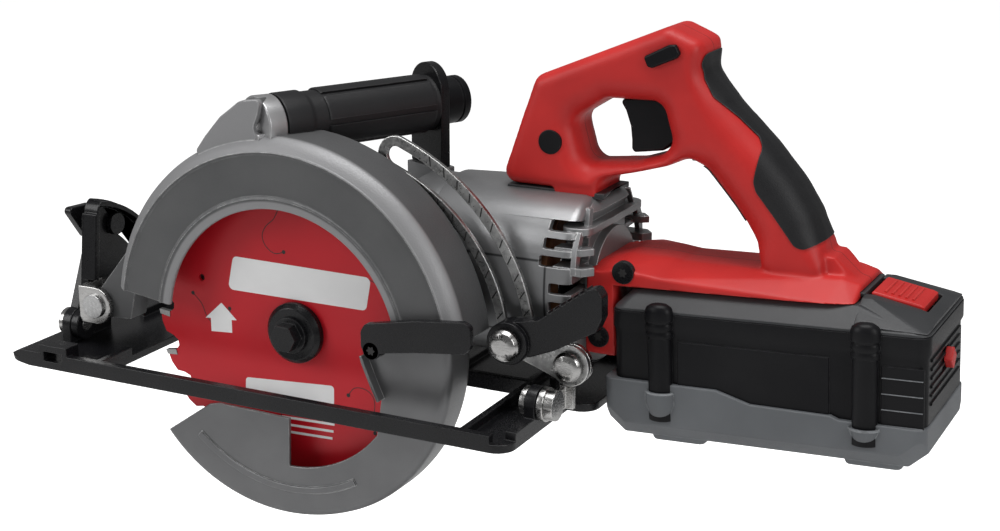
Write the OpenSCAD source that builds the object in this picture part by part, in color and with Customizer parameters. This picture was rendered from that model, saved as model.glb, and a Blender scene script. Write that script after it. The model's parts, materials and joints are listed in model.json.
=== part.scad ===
// Cordless worm drive circular saw. Millimetres, +Z up.
// The origin is the centre of the foot's sole, +X points to the rear, +Y to the motor side.
// Modules are drawn about the blade arbor, and from_arbor() carries them to the origin.

/* [Overall] */
// Diameter of the blade over its tips
blade_d = 184; // [176:1:196]
// Width of the foot
foot_w = 150; // [130:1:190]
// Height of the arbor above the sole at full depth
arbor_h = 31.7; // [30:0.1:40]
// Blade plane to the left side of the foot
plane_to_left = 40; // [39:0.5:60]
// Diameter of the motor housing
motor_d = 97; // [92:1:104]
// Length of the handle outline
handle_l = 196; // [180:1:230]
// Height of the handle outline
handle_h = 117; // [105:1:140]
// Width of the handle across the grip
handle_w = 38; // [34:1:46]
// Length of the battery
battery_l = 162; // [150:1:200]
// Width of the battery
battery_w = 80; // [78:1:104]

/* [Fits] */
// Radial gap of a running fit
run_gap = 0.05; // [0.02:0.01:0.1]
// Gap between parts that slide past each other
slide_gap = 0.4; // [0.3:0.1:1]
// Length by which a cutting tool runs past a face
overrun = 2; // [0.5:0.5:5]
// Length by which joined forms sink into each other
root_in = 1; // [0.5:0.5:3]

/* [Blade] */
// Number of teeth
tooth_n = 24; // [16:1:40]
// Thickness of the blade plate
blade_t = 1.8; // [1.2:0.1:3]
// Depth of the gullets
gullet_h = 10; // [6:0.5:14]
// Width of the cut
kerf_w = 2.6; // [2:0.1:4]
// Length of a carbide tip
tip_l = 7; // [4:0.5:9]
// Thickness of a carbide tip
tip_t = 2.4; // [1.6:0.1:3]
// Diameter of the four relief holes
relief_d = 4; // [2:0.5:8]
// Radius of the circle of relief holes
relief_r = 66; // [50:1:72]

/* [Arbor] */
// Diameter of the shaft nose that carries the blade
nose_d = 15.8; // [12:0.1:18]
// Length of the nose beyond the blade plane
nose_l = 4; // [3:0.5:6]
// Diameter of the arbor shaft
shaft_d = 20; // [18:0.5:22]
// Far end of the arbor shaft from the blade plane
shaft_far_y = 98; // [94:0.5:100]
// Thickness of each blade flange
flange_t = 6; // [4:0.5:7]
// Diameter of the inner flange
inner_flange_d = 42; // [36:0.5:42]
// Diameter of the outer flange
outer_flange_d = 34; // [30:0.5:40]
// Edge chamfer of the outer flange
outer_flange_chamfer = 2.5; // [1:0.5:3]
// Diameter of the blade bolt shank
bolt_d = 8; // [6:0.5:10]
// Depth of the blade bolt in the shaft
bolt_in = 18; // [12:1:24]
// Diameter over the corners of the blade bolt head
bolt_head_d = 16; // [13:0.5:20]
// Height of the blade bolt head
bolt_head_h = 7; // [4:0.5:10]
// Diameter of the collar below the head
bolt_collar_d = 20; // [17:0.5:24]
// Thickness of the collar
bolt_collar_t = 2; // [1:0.5:3]
// Diameter of the ball bearing at the blade
arbor_bearing_d = 42; // [38:1:43]
// Width of that bearing
arbor_bearing_w = 12; // [10:1:13]
// Near side of that bearing from the blade plane
arbor_bearing_y = 12; // [11:0.5:13]
// Diameter of the needle bearing at the far end
needle_bearing_d = 28; // [26:1:30]
// Width of that bearing
needle_bearing_w = 12; // [8:1:14]

/* [Gears] */
// Teeth of the worm wheel
wheel_teeth = 15; // [13:1:18]
// Starts of the worm
worm_starts = 4; // [3:1:5]
// Pitch radius of the worm wheel
wheel_pitch_r = 20; // [19:0.5:21]
// Pitch radius of the worm
worm_pitch_r = 13; // [12:0.5:14]
// Width of the worm wheel
wheel_w = 14; // [10:1:18]
// Length of the worm thread
worm_l = 44; // [36:1:46]
// Height of a tooth above the pitch line
addendum = 2; // [1.5:0.1:2.2]
// Depth of a tooth below the pitch line
dedendum = 2.6; // [2.2:0.1:3]
// Wall of the case round the worm wheel
case_wall = 2.4; // [2:0.2:3]
// Gap between the worm wheel and its case
case_gap = 0.8; // [0.5:0.1:1.5]
// Diameter of the worm shaft
worm_shaft_d = 12; // [10:0.5:14]
// Diameter of the front worm bearing
front_bearing_d = 28; // [26:1:30]
// Width of the front worm bearing
front_bearing_w = 10; // [8:1:12]
// Front face of the front worm bearing ahead of the arbor
front_bearing_x = 38; // [36:0.5:40]
// Diameter of the middle worm bearing
middle_bearing_d = 40; // [38:1:44]
// Width of the middle worm bearing
middle_bearing_w = 12; // [10:1:14]
// Front face of the middle worm bearing behind the arbor
middle_bearing_x = 30; // [28:0.5:32]

/* [Upper guard] */
// Blade tip circle to the outside of the guard
guard_gap = 18; // [16:0.5:22]
// Wall of the guard
guard_wall = 3; // [2.5:0.1:3.5]
// Outer face of the guard from the blade plane
guard_face_y = 19.5; // [19:0.1:20]
// Back face of the guard from the blade plane
guard_back_y = 15; // [14.5:0.1:15.5]
// Inner radius of the open ring
guard_ring_r = 72; // [66:1:76]
// Chamfer of the outer edge
guard_chamfer = 7; // [4:0.5:9]
// Lower end of the ring at the rear, in degrees above the arbor
guard_rear_angle = 7; // [5:0.5:12]
// Lower end of the ring at the front, in degrees
guard_front_angle = 172; // [165:0.5:174]
// Radius of the raised bead on the ring
guard_bead_r = 77; // [74:0.5:80]
// Width of the raised bead
guard_bead_w = 2; // [1:0.5:4]
// Height of the raised bead
guard_bead_h = 0.4; // [0.2:0.1:0.5]
// Near side of the top wing, towards the blade side
wing_near = 16; // [14:0.5:17]
// Thickness of the wing
wing_t = 11; // [9:0.5:12]
// Thickness of the front lug
lug_w = 14; // [10:1:16]
// Near side of the front lug, towards the blade side
lug_near = 2; // [0:0.5:3]
// Radius of the front lug round its pin
lug_r = 7.5; // [6:0.5:8]

/* [Lower guard] */
// Depth of the lower guard's rim inside that of the upper guard
lower_in = 8.5; // [8:0.5:11]
// Wall of the lower guard
lower_wall = 2; // [1.5:0.1:2.5]
// Outer face of the lower guard from the blade plane
lower_face_y = 15; // [14:0.1:15.5]
// Back face of the lower guard from the blade plane
lower_back_y = 10; // [9.5:0.1:10.2]
// Radius of the sleeve that the lower guard turns on
sleeve_r = 27; // [26:0.5:28]
// Near end of the sleeve from the blade plane
sleeve_y = 6.2; // [6:0.1:6.6]
// Radius of the lower guard hub
lower_hub_r = 35; // [33:0.5:38]
// Step from the lower guard's back down to its hub
hub_step = 0.2; // [0.1:0.1:0.4]
// Front edge of the lower guard, in degrees
lower_front_angle = 215; // [210:1:225]
// Rear edge of the lower guard, in degrees
lower_rear_angle = 372; // [368:1:374]
// Radius of the window arc
window_r = 73; // [70:1:80]
// Outer face of the lift lever from the blade plane
lever_face_y = 24.8; // [24:0.1:25]
// Thickness of the lift lever
lever_t = 4.2; // [3:0.1:4.3]
// Length of the lift lever
lever_l = 64; // [50:1:70]
// Height of the lift lever
lever_h = 26; // [20:1:28]
// Inner end of the lift lever behind the arbor
lever_x = 54.5; // [50:0.5:58]
// Lower corner of the lift lever above the arbor
lever_z = 2.5; // [1:0.5:6]
// Lift lever boss: place behind and above the arbor
lever_boss = [60.5, 5.5]; // [0:0.5:70]
// Radius of the lift lever boss
lever_boss_r = 5; // [4:0.5:6]
// Diameter of the lift lever screw head
lever_screw_d = 8; // [6:0.5:9]
// Thickness of that screw head
lever_screw_t = 2; // [1:0.5:3]

/* [Foot] */
// Front depth pivot: place ahead of the guard and below the arbor
pivot_ahead = 25; // [23:0.5:30]
// Depth pivot below the arbor
pivot_below = 3; // [0:0.5:5]
// Depth pivot to the front end of the foot
pivot_to_front = 37.6; // [36:0.1:50]
// Rear of the guard to the rear end of the foot
guard_to_rear = 36.6; // [34:0.1:50]
// Thickness of the foot plate
foot_t = 4.5; // [3:0.1:4.8]
// Corner radius of the foot
foot_corner_r = 10; // [4:1:14]
// Width of the left rail
rail_w = 5; // [3:0.1:5]
// Height of the left rail above the sole
rail_h = 9; // [6:0.5:9]
// Length of the upswept toe at the front
toe_l = 16; // [8:1:20]
// Rise of the toe
toe_h = 5; // [2:0.5:6]
// Front end of the blade slot ahead of the arbor
slot_front = 107; // [105:0.5:112]
// Rear end of the blade slot behind the arbor
slot_rear = 118; // [112:0.5:122]
// Right side of the blade slot from the blade plane
slot_right = 41; // [40:0.5:50]
// Width of the upright flanges and ribs
flange_w = 4; // [3:0.5:6]
// Height of the rear and right flanges above the sole
flange_h = 9; // [6:0.5:10]
// Distance between the ribs on the right side
rib_pitch = 46; // [30:1:60]
// Length of a rip fence tunnel block along the foot
tunnel_block_l = 20; // [16:1:24]
// Height of the tunnel blocks above the sole
tunnel_block_h = 14; // [13:0.5:16]
// Depth of the tunnel blocks across the foot
tunnel_block_w = 11; // [8:1:14]
// Rip fence tunnel: width and height
tunnel = [13, 5.4]; // [4:0.1:16]
// Front end of the foot to the middle of the tunnels
front_to_tunnel = 34; // [30:0.5:40]
// Length of the tail behind the right half
tail_l = 14; // [6:1:18]
// Left side of the tail from the blade plane
tail_y = 32; // [28:1:40]

/* [Bevel] */
// Height of the bevel axis above the sole
bevel_h = 14.7; // [14:0.1:16]
// Diameter of the bevel pins
bevel_pin_d = 8; // [6:0.5:9]
// Radius of the ears round the bevel pins
ear_r = 9; // [7:0.5:10]
// Thickness of the ears on the foot
ear_t = 6; // [4:0.5:7]
// Largest bevel, in degrees
bevel_max = 53; // [45:1:55]
// Radius of the quadrant
quadrant_r = 73; // [70:1:80]
// Radius of the middle of the quadrant slot
quadrant_slot_r = 61; // [58:0.5:63]
// Angle of the clamp stud above the foot at zero bevel
stud_angle = 62; // [58:1:66]
// Thickness of the quadrant plate
quadrant_t = 5; // [4:0.5:6]
// Depth of the quadrant rim
quadrant_rim = 10; // [6:0.5:12]
// Width of the quadrant rim
quadrant_rim_w = 4; // [3:0.5:4]
// Diameter of the clamp stud
stud_d = 8; // [6:0.5:9]
// Diameter of the clamp stud head
stud_head_d = 13; // [11:0.5:14]
// Thickness of the clamp stud head
stud_head_t = 3; // [2:0.5:4]
// Thickness of the bevel lever
bevel_lever_t = 5; // [3:0.5:6]
// Length of the bevel lever hub
bevel_hub_l = 9; // [6:0.5:10]
// Radius of the bevel lever hub
bevel_hub_r = 7.5; // [6:0.5:9]
// Bevel lever paddle: width and height
paddle = [26, 22]; // [14:0.5:34]

/* [Depth] */
// Largest swing of the foot, in degrees
depth_max = 27; // [20:0.5:28]
// Turn of the bracket for one degree of foot swing
bracket_turn = 0.68; // [0.6:0.02:0.74]
// Guard to the depth clamp stud
guard_to_stud = 14; // [13:0.5:17]
// Depth clamp stud above the arbor
depth_stud_z = 10; // [8:0.5:13]
// Diameter of the depth clamp stud
depth_stud_d = 8; // [6:0.5:9]
// Diameter of its domed head
depth_head_d = 17; // [14:0.5:19]
// Height of its domed head
depth_head_h = 6; // [4:0.5:8]
// Rear end of the foot to the bracket pin
rear_to_pin = 7.4; // [7:0.1:10]
// Bracket pin below the arbor
bracket_pin_below = 1; // [0:0.5:3]
// Near face of the bracket from the blade plane
bracket_y = 16.6; // [16:0.1:17]
// Thickness of the bracket
bracket_t = 3; // [2:0.1:3.2]
// Width of the bracket slot
bracket_slot_w = 10; // [9:0.1:12]
// Width of the rails beside the slot
bracket_rail_w = 5.6; // [4:0.1:7]
// Radius of the bracket eye
bracket_eye_r = 11; // [9:0.5:12]
// Diameter of the bracket pin
bracket_pin_d = 8; // [6:0.5:9]
// Diameter of the pin's domed head
pin_head_d = 16; // [13:0.5:18]
// Height of the pin's domed head
pin_head_h = 5; // [3:0.5:6]
// Thickness of the rear link
link_t = 3.5; // [3:0.1:4]
// Gap between the foot and the rear link
link_gap = 0.6; // [0.4:0.1:1]
// Radius of the clevis cheeks
clevis_r = 11; // [9:0.5:11]
// Thickness of the clevis plate
clevis_t = 3.5; // [2.5:0.1:4]
// Diameter of the depth pivot pin
pivot_pin_d = 8; // [6:0.5:9]
// Diameter of the pivot pin heads
pivot_head_d = 14; // [11:0.5:16]
// Thickness of the pivot pin heads
pivot_head_t = 2; // [1.5:0.5:2]
// Radius of the depth lever hub
depth_hub_r = 11.5; // [10:0.5:12]
// Width of the depth lever hub
depth_hub_w = 12; // [8:0.5:13]
// Depth lever arm: length and height
depth_arm = [50, 38]; // [25:1:60]

/* [Gear case] */
// Length of the gear case ahead of the arbor
case_front = 46; // [44:0.5:52]
// Radius of the worm tunnel on the outside
tunnel_r = 24; // [22:0.5:26]
// Gap between the worm and its tunnel
tunnel_gap = 1.2; // [0.8:0.1:2]
// Front face of the motor housing behind the arbor
motor_x = 62; // [58:0.5:66]
// Length of the case at its full radius
case_full_l = 17; // [12:0.5:20]
// Length of the cone between tunnel and full radius
case_cone_l = 40; // [30:0.5:44]
// Thickness of the flange that carries the guard
guard_flange_t = 5; // [4:0.5:6]
// Radius of the flange that carries the guard
guard_flange_r = 52; // [46:1:58]
// Far face of the gear case from the blade plane
case_far_y = 104; // [102:0.5:108]
// Thickness of the gear cover
cover_t = 5; // [3:0.5:6]
// Rim of the gear cover beyond the case
cover_rim = 4; // [3:0.5:6]
// Number of screws in the gear cover and in the guard flange
case_screw_n = 4; // [3:1:6]
// Diameter of those screws
case_screw_d = 4; // [3:0.5:5]
// Diameter of their heads
case_screw_head_d = 8; // [6:0.5:9]
// Height of their heads
case_screw_head_h = 3; // [2:0.5:4]
// Length of those screws
case_screw_l = 9; // [6:0.5:10]
// Radius of the circle of guard screws
guard_screw_r = 43; // [40:0.5:46]
// Spindle lock from the blade plane
lock_y = 44; // [42:0.5:47]
// Diameter of the spindle lock pin
lock_pin_d = 8; // [6:0.5:9]
// Diameter of the spindle lock button
lock_head_d = 14; // [12:0.5:15]
// Thickness of the spindle lock button
lock_head_t = 4; // [3:0.5:6]
// Travel of the spindle lock
lock_travel = 4; // [3:0.5:5]
// Length of the spindle lock boss ahead of the arbor
lock_boss_x = 38; // [34:0.5:40]
// Wall of the spindle lock boss
lock_boss_wall = 3; // [2:0.5:4]

/* [Motor] */
// Gap between the depth bracket and the side of the motor housing
motor_side_gap = 2.9; // [2.5:0.1:3.5]
// Wall of the motor housing
motor_wall = 4; // [3:0.5:5]
// Rear of the guard to the end of the full motor housing
guard_to_motor_end = 41; // [39:0.5:44]
// Length of the upper hood behind that
hood_l = 16; // [13:0.5:18]
// Step from the full housing down to the hood
hood_step = 2.5; // [1.5:0.5:4]
// Lower edge of the hood above the motor axis
hood_z = 9; // [7:0.5:11]
// Radius of the neck that plugs into the handle base
neck_r = 23; // [20:0.5:24]
// Length of the neck
neck_l = 18; // [14:0.5:19]
// Width of a vent slot
vent_w = 5.5; // [4:0.5:7]
// Length of the upper vent slots
vent_l = 31; // [20:0.5:32]
// Length of the lower vent slots
low_vent_l = 16; // [10:0.5:20]
// Angle between vent slots
vent_step = 13; // [11:0.5:15]
// Angle of the first upper vent slot above the side
vent_first = 19; // [17:1:22]
// Angle of the first lower vent slot above the side
low_vent_first = -12; // [-15:1:-8]
// Number of upper vent slots on each side
vent_n = 3; // [2:1:3]
// Number of lower vent slots on each side
low_vent_n = 2; // [1:1:2]
// Thickness of the housing's rear wall
motor_end_t = 4; // [3:0.5:5]
// Diameter of the rear rotor bearing
rear_bearing_d = 26; // [22:1:28]
// Width of the rear rotor bearing
rear_bearing_w = 9; // [7:0.5:10]
// Wall of the hub round the rear rotor bearing
rear_hub_wall = 4; // [3:0.5:5]
// Length of the stator
stator_l = 48; // [40:1:50]
// Housing end to the rear of the stator
stator_back = 16; // [14:0.5:18]
// Wall of the stator
stator_wall = 17; // [14:0.5:20]
// Gap between stator and rotor
air_gap = 0.8; // [0.5:0.1:1.2]
// Diameter of the fan
fan_d = 76; // [60:1:80]
// Width of the fan
fan_w = 12; // [8:1:14]
// Front face of the fan behind the housing's front
fan_in = 5; // [4:0.5:6]
// Blades of the fan
fan_n = 12; // [8:1:16]
// Thickness of a fan blade and of its disc
fan_t = 2; // [1.5:0.5:3]
// Radius of the fan hub
fan_hub_r = 12; // [9:0.5:14]
// Radius of the boss for the depth stud
stud_boss_r = 9; // [8:0.5:10]
// Trim under the handle: length and width
trim = [56, 34]; // [24:0.5:70]
// Guard to the front of the trim, measured forwards
trim_ahead = 10; // [6:0.5:12]
// Depth of the trim round the motor
trim_drop = 9; // [5:0.5:12]

/* [Handle] */
// Front of the handle outline ahead of the rear of the guard
handle_ahead = 16.5; // [15:0.5:18]
// Depth of the handle outline's zero line below the top of the motor
handle_drop = 27.5; // [26:0.5:29]
// Corner radius of the handle outline
handle_corner_r = 7; // [3:0.5:9]
// Width of the base
base_w = 66; // [60:0.5:72]
// Front of the base behind the rear of the guard
base_x = 42.5; // [42:0.5:46]
// Length of the base
base_l = 141.5; // [130:0.5:170]
// Height of the base above the arbor
base_h = 60; // [58:0.5:64]
// Edge chamfer along the base
base_chamfer = 5; // [2:0.5:8]
// Corner radius of the base outline
base_corner_r = 6; // [2:0.5:8]
// Thickness of the rear grip pad
pad_t = 3; // [2:0.5:4]
// Height of the grip pads above the handle sides
pad_rise = 0.6; // [0.3:0.1:1]
// Width of the front grip pad
front_pad_w = 24; // [16:1:28]
// Thickness of the front grip pad
front_pad_t = 2.4; // [1.5:0.1:3]
// Diameter of the round side plugs
plug_d = 13; // [9:0.5:15]
// Depth of the round side plugs
plug_t = 4; // [2:0.5:6]
// Height by which a plug or screw stands proud
proud = 0.6; // [0.3:0.1:1]
// Diameter of the base screw heads
base_screw_head_d = 12; // [9:0.5:13]
// Depth of the base screw heads
base_screw_head_t = 3; // [2:0.5:4]
// Diameter of the base screws
base_screw_d = 4; // [3:0.5:5]
// Length of the base screws
base_screw_l = 8; // [5:0.5:9]
// Upper base screw behind the guard and above the arbor
base_screw_high = [64, 46]; // [40:0.5:66]
// Lower base screw behind the guard and above the arbor
base_screw_low = [51, 10]; // [8:0.5:54]
// Width of the trigger
trigger_w = 16; // [12:0.5:18]
// Gap between the trigger and its slot
trigger_gap = 0.7; // [0.4:0.1:1]
// Diameter of the trigger pin
trigger_pin_d = 4; // [3:0.5:5]
// Length by which the trigger pin enters each shell
trigger_pin_in = 4; // [3:0.5:5]
// Lock-off button: length and height
lock_off = [20, 9]; // [7:0.5:24]
// Depth of the lock-off button in the shell
lock_off_in = 8; // [6:0.5:10]
// Height of the lock-off button above the shell
lock_off_out = 3; // [2:0.5:4]
// Travel of the lock-off button
lock_off_travel = 2.5; // [1.5:0.5:3]
// Switch module: length, width and height
switch_size = [17, 20, 24]; // [10:0.5:26]
// Controller: length, width and height
controller_size = [70, 40, 4]; // [3:0.5:80]

/* [Battery] */
// Rear of the guard to the front of the battery
battery_x = 63; // [62:0.5:66]
// Top of the case at the front, above the arbor
battery_z = 27.5; // [26:0.5:29]
// Tilt of the battery, in degrees
battery_tilt = 2.8; // [0:0.1:3]
// Height of the case
battery_case_h = 39; // [34:0.5:44]
// Height of the boot
boot_h = 28.5; // [20:0.5:32]
// Height of the top cover below the handle base
cover_h = 11; // [9:0.5:11]
// Height of the deck behind the handle base
deck_h = 18; // [17:0.5:22]
// Length of the deck
deck_l = 39; // [34:0.5:44]
// Side slope of the top cover
cover_slope = 8; // [4:0.5:10]
// Side slope of the deck
deck_slope = 17; // [10:0.5:20]
// Wall of the battery
battery_wall = 3; // [2:0.1:3.5]
// Step of the boot beyond the case
boot_step = 1.5; // [0.5:0.1:3]
// Chamfer along the bottom of the boot
boot_chamfer = 9; // [4:0.5:12]
// Height of the feet under the boot
boot_foot_h = 3; // [2:0.5:4]
// Length of the feet under the boot
boot_foot_l = 30; // [20:1:36]
// Width of the rail neck and of the rail head
rail_neck_w = 42; // [36:0.5:44]
// Width of the rail head
rail_head_w = 50; // [48:0.5:52]
// Height of the rail neck
rail_neck_h = 2; // [1.5:0.1:2.5]
// Height of the rail head
rail_head_h = 4; // [3:0.1:4.5]
// Front end of the rail behind the battery front
rail_x = 12; // [10:0.5:16]
// Diameter of a cell
cell_d = 21; // [18:0.2:21.2]
// Length of a cell
cell_l = 66; // [60:0.5:70]
// Distance between cells
cell_pitch = 21.6; // [21.4:0.1:22.2]
// Cells in a row
cell_n = 7; // [6:1:7]
// Thickness of the cell holders
cell_holder_t = 2; // [1:0.5:3]
// Radius of the screw posts
post_r = 5; // [4:0.5:6]
// Front and rear screw posts behind the battery front
post_x = [24, 130]; // [20:1:140]
// Diameter of the case screws
post_screw_d = 6; // [4:0.5:7]
// Height of the case screw heads
post_screw_h = 3; // [2:0.5:4]
// Latch: length, width and height
latch_size = [26, 30, 9]; // [7:0.5:34]
// Travel of the latch
latch_travel = 3; // [2:0.5:4]
// Height of the latch above the deck
latch_out = 1.2; // [0.6:0.1:2]
// Deck end to the latch
latch_back = 7; // [5:0.5:9]
// Side of the square gauge button
gauge_side = 8; // [6:0.5:10]
// Gauge button below the top of the case
gauge_below = 20; // [14:0.5:24]
// Travel of the gauge button
gauge_travel = 1.2; // [0.8:0.1:2]
// Depth of the gauge button in the case
gauge_in = 2.4; // [2.1:0.1:2.6]
// Terminal block: length, width and height
terminal_size = [6, 36, 4.6]; // [3:0.2:40]
// Terminal blade: length, thickness and height
blade_size = [9, 1.2, 3]; // [1:0.1:12]
// Distance between terminal blades
terminal_pitch = 11; // [8:0.5:12]

/* [Top handle] */
// Length of the top grip
top_grip_l = 98; // [92:1:104]
// Radius of the top grip
top_grip_r = 16.5; // [15:0.5:18]
// Turn of the top handle about the vertical, in degrees
top_turn = 26; // [24:0.5:28]
// Start of the top handle: behind, across and above the arbor
top_start = [-16, -4, 113]; // [-20:0.5:118]
// Start of the grip along the handle
top_grip_y = 7.6; // [7:0.1:9]
// Radius of the rod in the top handle
top_rod_r = 6; // [4:0.5:7]
// Depth of the rod in the wing
top_rod_in = 8; // [6:0.5:10]
// Thickness of the top bracket
top_bracket_t = 6; // [4:0.5:8]
// Radius of the rounded top of the top bracket
top_bracket_r = 15; // [14:0.5:17]
// Height of that round's centre above the grip axis
top_bracket_rise = 8; // [4:0.5:10]
// Width of the top bracket leg
top_leg_w = 30; // [24:0.5:30]
// Lower end of the top bracket above the arbor
top_leg_z = 78; // [76:0.5:79]
// Length of the end cap
top_cap_l = 17; // [10:0.5:20]
// Radius of the end cap
top_cap_r = 13.5; // [12:0.5:15]
// Chamfer of the end cap
top_cap_chamfer = 2; // [1:0.5:3]
// Pad that carries the top bracket: length, width and height
top_pad = [30, 12, 28]; // [8:0.5:34]

/* [Node] */
// Sub-part to draw, or all of them

/* [Hidden] */
$fn = 64;
arc_steps = 6;
corner_share = 0.45;
worm_slices = 32;
wheel_slices = 6;
quadrant_steps = 16;
window_steps = 10;
// Angles of the first guard screw, of the row of guard screws and of the first cover screw
guard_screw_from = 30;
guard_screw_sweep = 120;
cover_screw_from = 45;
// Relief holes of the blade: number and first angle
relief_n = 4;
relief_from = 20;
// Ends of the window arc in the lower guard, in degrees
window_ends = [271, 322];
// Upper edge of the quadrant, its margin below the slot and the start of its rim, in degrees
quadrant_high = 83;
quadrant_margin = 9;
quadrant_rim_ahead = 15;
// Slope of the base chamfer and of the gauge button, in degrees
half_square = 45;

// Outline of one tooth: depth as a share of the gullet, angle as a share of the pitch
tooth_shares = [[0.08, 0.02], [0.12, 0.3], [0.3, 0.54], [0.72, 0.64], [1, 0.78], [0.97, 0.93], [0.7, 1.03],
    [0.35, 1.02]];
// Outline of a carbide tip from the tip circle: shares of its length and thickness
tip_shares = [[0, -0.12], [-1, 0.12], [-1, 1.5], [-0.06, 1]];
// Outline of the guard wing: shares of the guard radius
wing_shares = [[-0.47, 0.87], [-0.32, 1.07], [-0.2, 1.16], [-0.04, 1.17], [-0.01, 0.98], [-0.3, 0.92]];
// Outline of the guard's front lug from its pin: shares of the guard radius
lug_shares = [[-0.91, 0.42], [-0.86, 0.42], [-0.96, 0.16], [-1.0, 0.0], [-1.03, -0.08]];
// Cut-out of the lower guard face: shares of the guard radius
window_front_shares = [[-1.2, -0.78], [-0.64, -0.49], [0.02, -0.41]];
window_rear_shares = [[0.55, -0.22], [0.47, -0.04], [0.47, 0.5], [-1.2, 0.5]];
// Outline of the lift lever: shares of its length and height
lever_shares = [[0, 0.02], [0.5, 0.22], [0.95, 0.36], [1, 0.5], [1, 0.92], [0.94, 1], [0.5, 0.88],
    [0.04, 0.66],
    [0, 0.5]];
// Outline of the handle: shares of its length and height
handle_shares = [[0.005, 0.237], [0.076, 0.576], [0.111, 0.737], [0.485, 1], [0.581, 0.935], [0.582, 0.81],
    [0.653, 0.673], [0.754, 0.512], [0.834, 0.36], [0.88, 0.242], [0.912, 0.112], [0.935, -0.04],
    [0.759, -0.04], [0.734, 0.094], [0.666, 0.242], [0.59, 0.386], [0.546, 0.432], [0.485, 0.385],
    [0.404, 0.345], [0.308, 0.305], [0.298, 0.237]];
// Finger opening in the handle: shares of its length and height
finger_shares = [[0.222, 0.555], [0.314, 0.652], [0.465, 0.66], [0.494, 0.492], [0.467, 0.433],
    [0.394, 0.394], [0.256, 0.366]];
// Rear grip pad: shares of the handle length and height
pad_shares = [[0.571, 0.885], [0.561, 0.822], [0.596, 0.72], [0.677, 0.605], [0.722, 0.517], [0.72, 0.356],
    [0.73, 0.288], [0.833, 0.112], [0.864, 0.085], [1, 0.09], [1, 0.95], [0.6, 0.95]];
// Front grip pad along the grip: shares of the handle length and height
front_pad_shares = [[0.581, 0.398], [0.601, 0.367], [0.657, 0.26], [0.699, 0.175]];
// Slope of the grip's back and front as a direction
grip_normal = [0.76, 0.65];
// Outline of the trigger: shares of the handle length and height
trigger_shares = [[0.328, 0.627], [0.345, 0.56], [0.353, 0.508], [0.354, 0.432], [0.41, 0.436], [0.47,
    0.49],
    [0.48, 0.61], [0.44, 0.68], [0.37, 0.68]];
// Trigger slot in the shells: shares of the handle length and height
trigger_slot_shares = [[0.3, 0.405], [0.404, 0.412], [0.53, 0.46], [0.53, 0.74], [0.3, 0.74]];
// Trigger pin, side plug, lock-off button and switch: shares of the handle length and height
trigger_pin_share = [0.405, 0.655];
plug_share = [0.164, 0.453];
lock_off_share = [0.4775, 0.895];
switch_share = [0.592, 0.52];
// Outline of the base: shares of its length and height
base_shares = [[0.007, 0], [0.007, 0.83], [0.127, 1], [0.373, 1], [0.915, 0.97], [1, 0.93], [1, 0.6],
    [0.145, 0.6], [0.138, 0]];
// Profile of a domed head: shares of its radius and height
dome_shares = [[0, 0], [1, 0], [1, 0.4], [0.85, 0.75], [0.45, 1], [0, 1]];
// Outline of the depth lever arm: shares of its length and height
arm_shares = [[0, 0.28], [0.44, 0.34], [0.98, 1], [1.04, 0.9], [1, 0.46], [0.5, 0.06], [0.1, -0.2]];
// Bevel lever paddle from its hub: shares of its width and height
paddle_shares = [[-0.8, 0.52], [0.05, 0.46], [0.2, 0], [-0.18, -0.48]];

// Places that follow from the sizes above
guard_r = blade_d / 2 + guard_gap;
lower_r = guard_r - lower_in;
pivot_x = -guard_r - pivot_ahead;
front_x = pivot_x - pivot_to_front;
rear_x = guard_r + guard_to_rear;
foot_l = rear_x - front_x;
arbor_at = [-front_x - foot_l / 2, plane_to_left - foot_w / 2, arbor_h];
right_y = foot_w - plane_to_left;
bevel_z = bevel_h - arbor_h;
plate_z = foot_t - arbor_h;
motor_z = wheel_pitch_r + worm_pitch_r;
motor_r = motor_d / 2;
motor_y = bracket_y + bracket_t + motor_side_gap + motor_r;
handle_z = motor_z + motor_r - handle_drop;
motor_end = guard_r + guard_to_motor_end;
chamber_r = wheel_pitch_r + addendum + case_gap;
case_r = chamber_r + case_wall;
bearing_out_r = arbor_bearing_d / 2;
lead = 2 * PI * wheel_pitch_r * worm_starts / wheel_teeth;
wheel_twist = wheel_w * lead / (2 * PI * worm_pitch_r) / wheel_pitch_r * 180 / PI;
depth_stud_x = guard_r + guard_to_stud;
bracket_pin = [rear_x + rear_to_pin, -bracket_pin_below];
handle_x = guard_r - handle_ahead;
stator_x = motor_end - stator_back - stator_l;
stud_top_z = depth_stud_z + depth_stud_d / 2;
stud_end_y = motor_y - slide_gap - sqrt(pow(motor_r - motor_wall, 2) - pow(motor_z - stud_top_z, 2));
stator_r = motor_r - motor_wall - run_gap;
rotor_r = stator_r - stator_wall - air_gap;
ear_front_x = pivot_x - clevis_r - quadrant_t - slide_gap;
quadrant_x = pivot_x - clevis_r - quadrant_t;
stud_at = quadrant_slot_r * [cos(stud_angle), sin(stud_angle)];

// Direction helpers for outlines
function unit(v) = v / norm(v);
function scaled(shares, size) = [for (s = shares) [s[0] * size[0], s[1] * size[1]]];
function moved(points, by) = [for (p = points) p + by];
function polar(r, a) = [r * cos(a), r * sin(a)];
function arc(r, from, to, steps) = [for (i = [0:steps]) polar(r, from + (to - from) * i / steps)];

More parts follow.
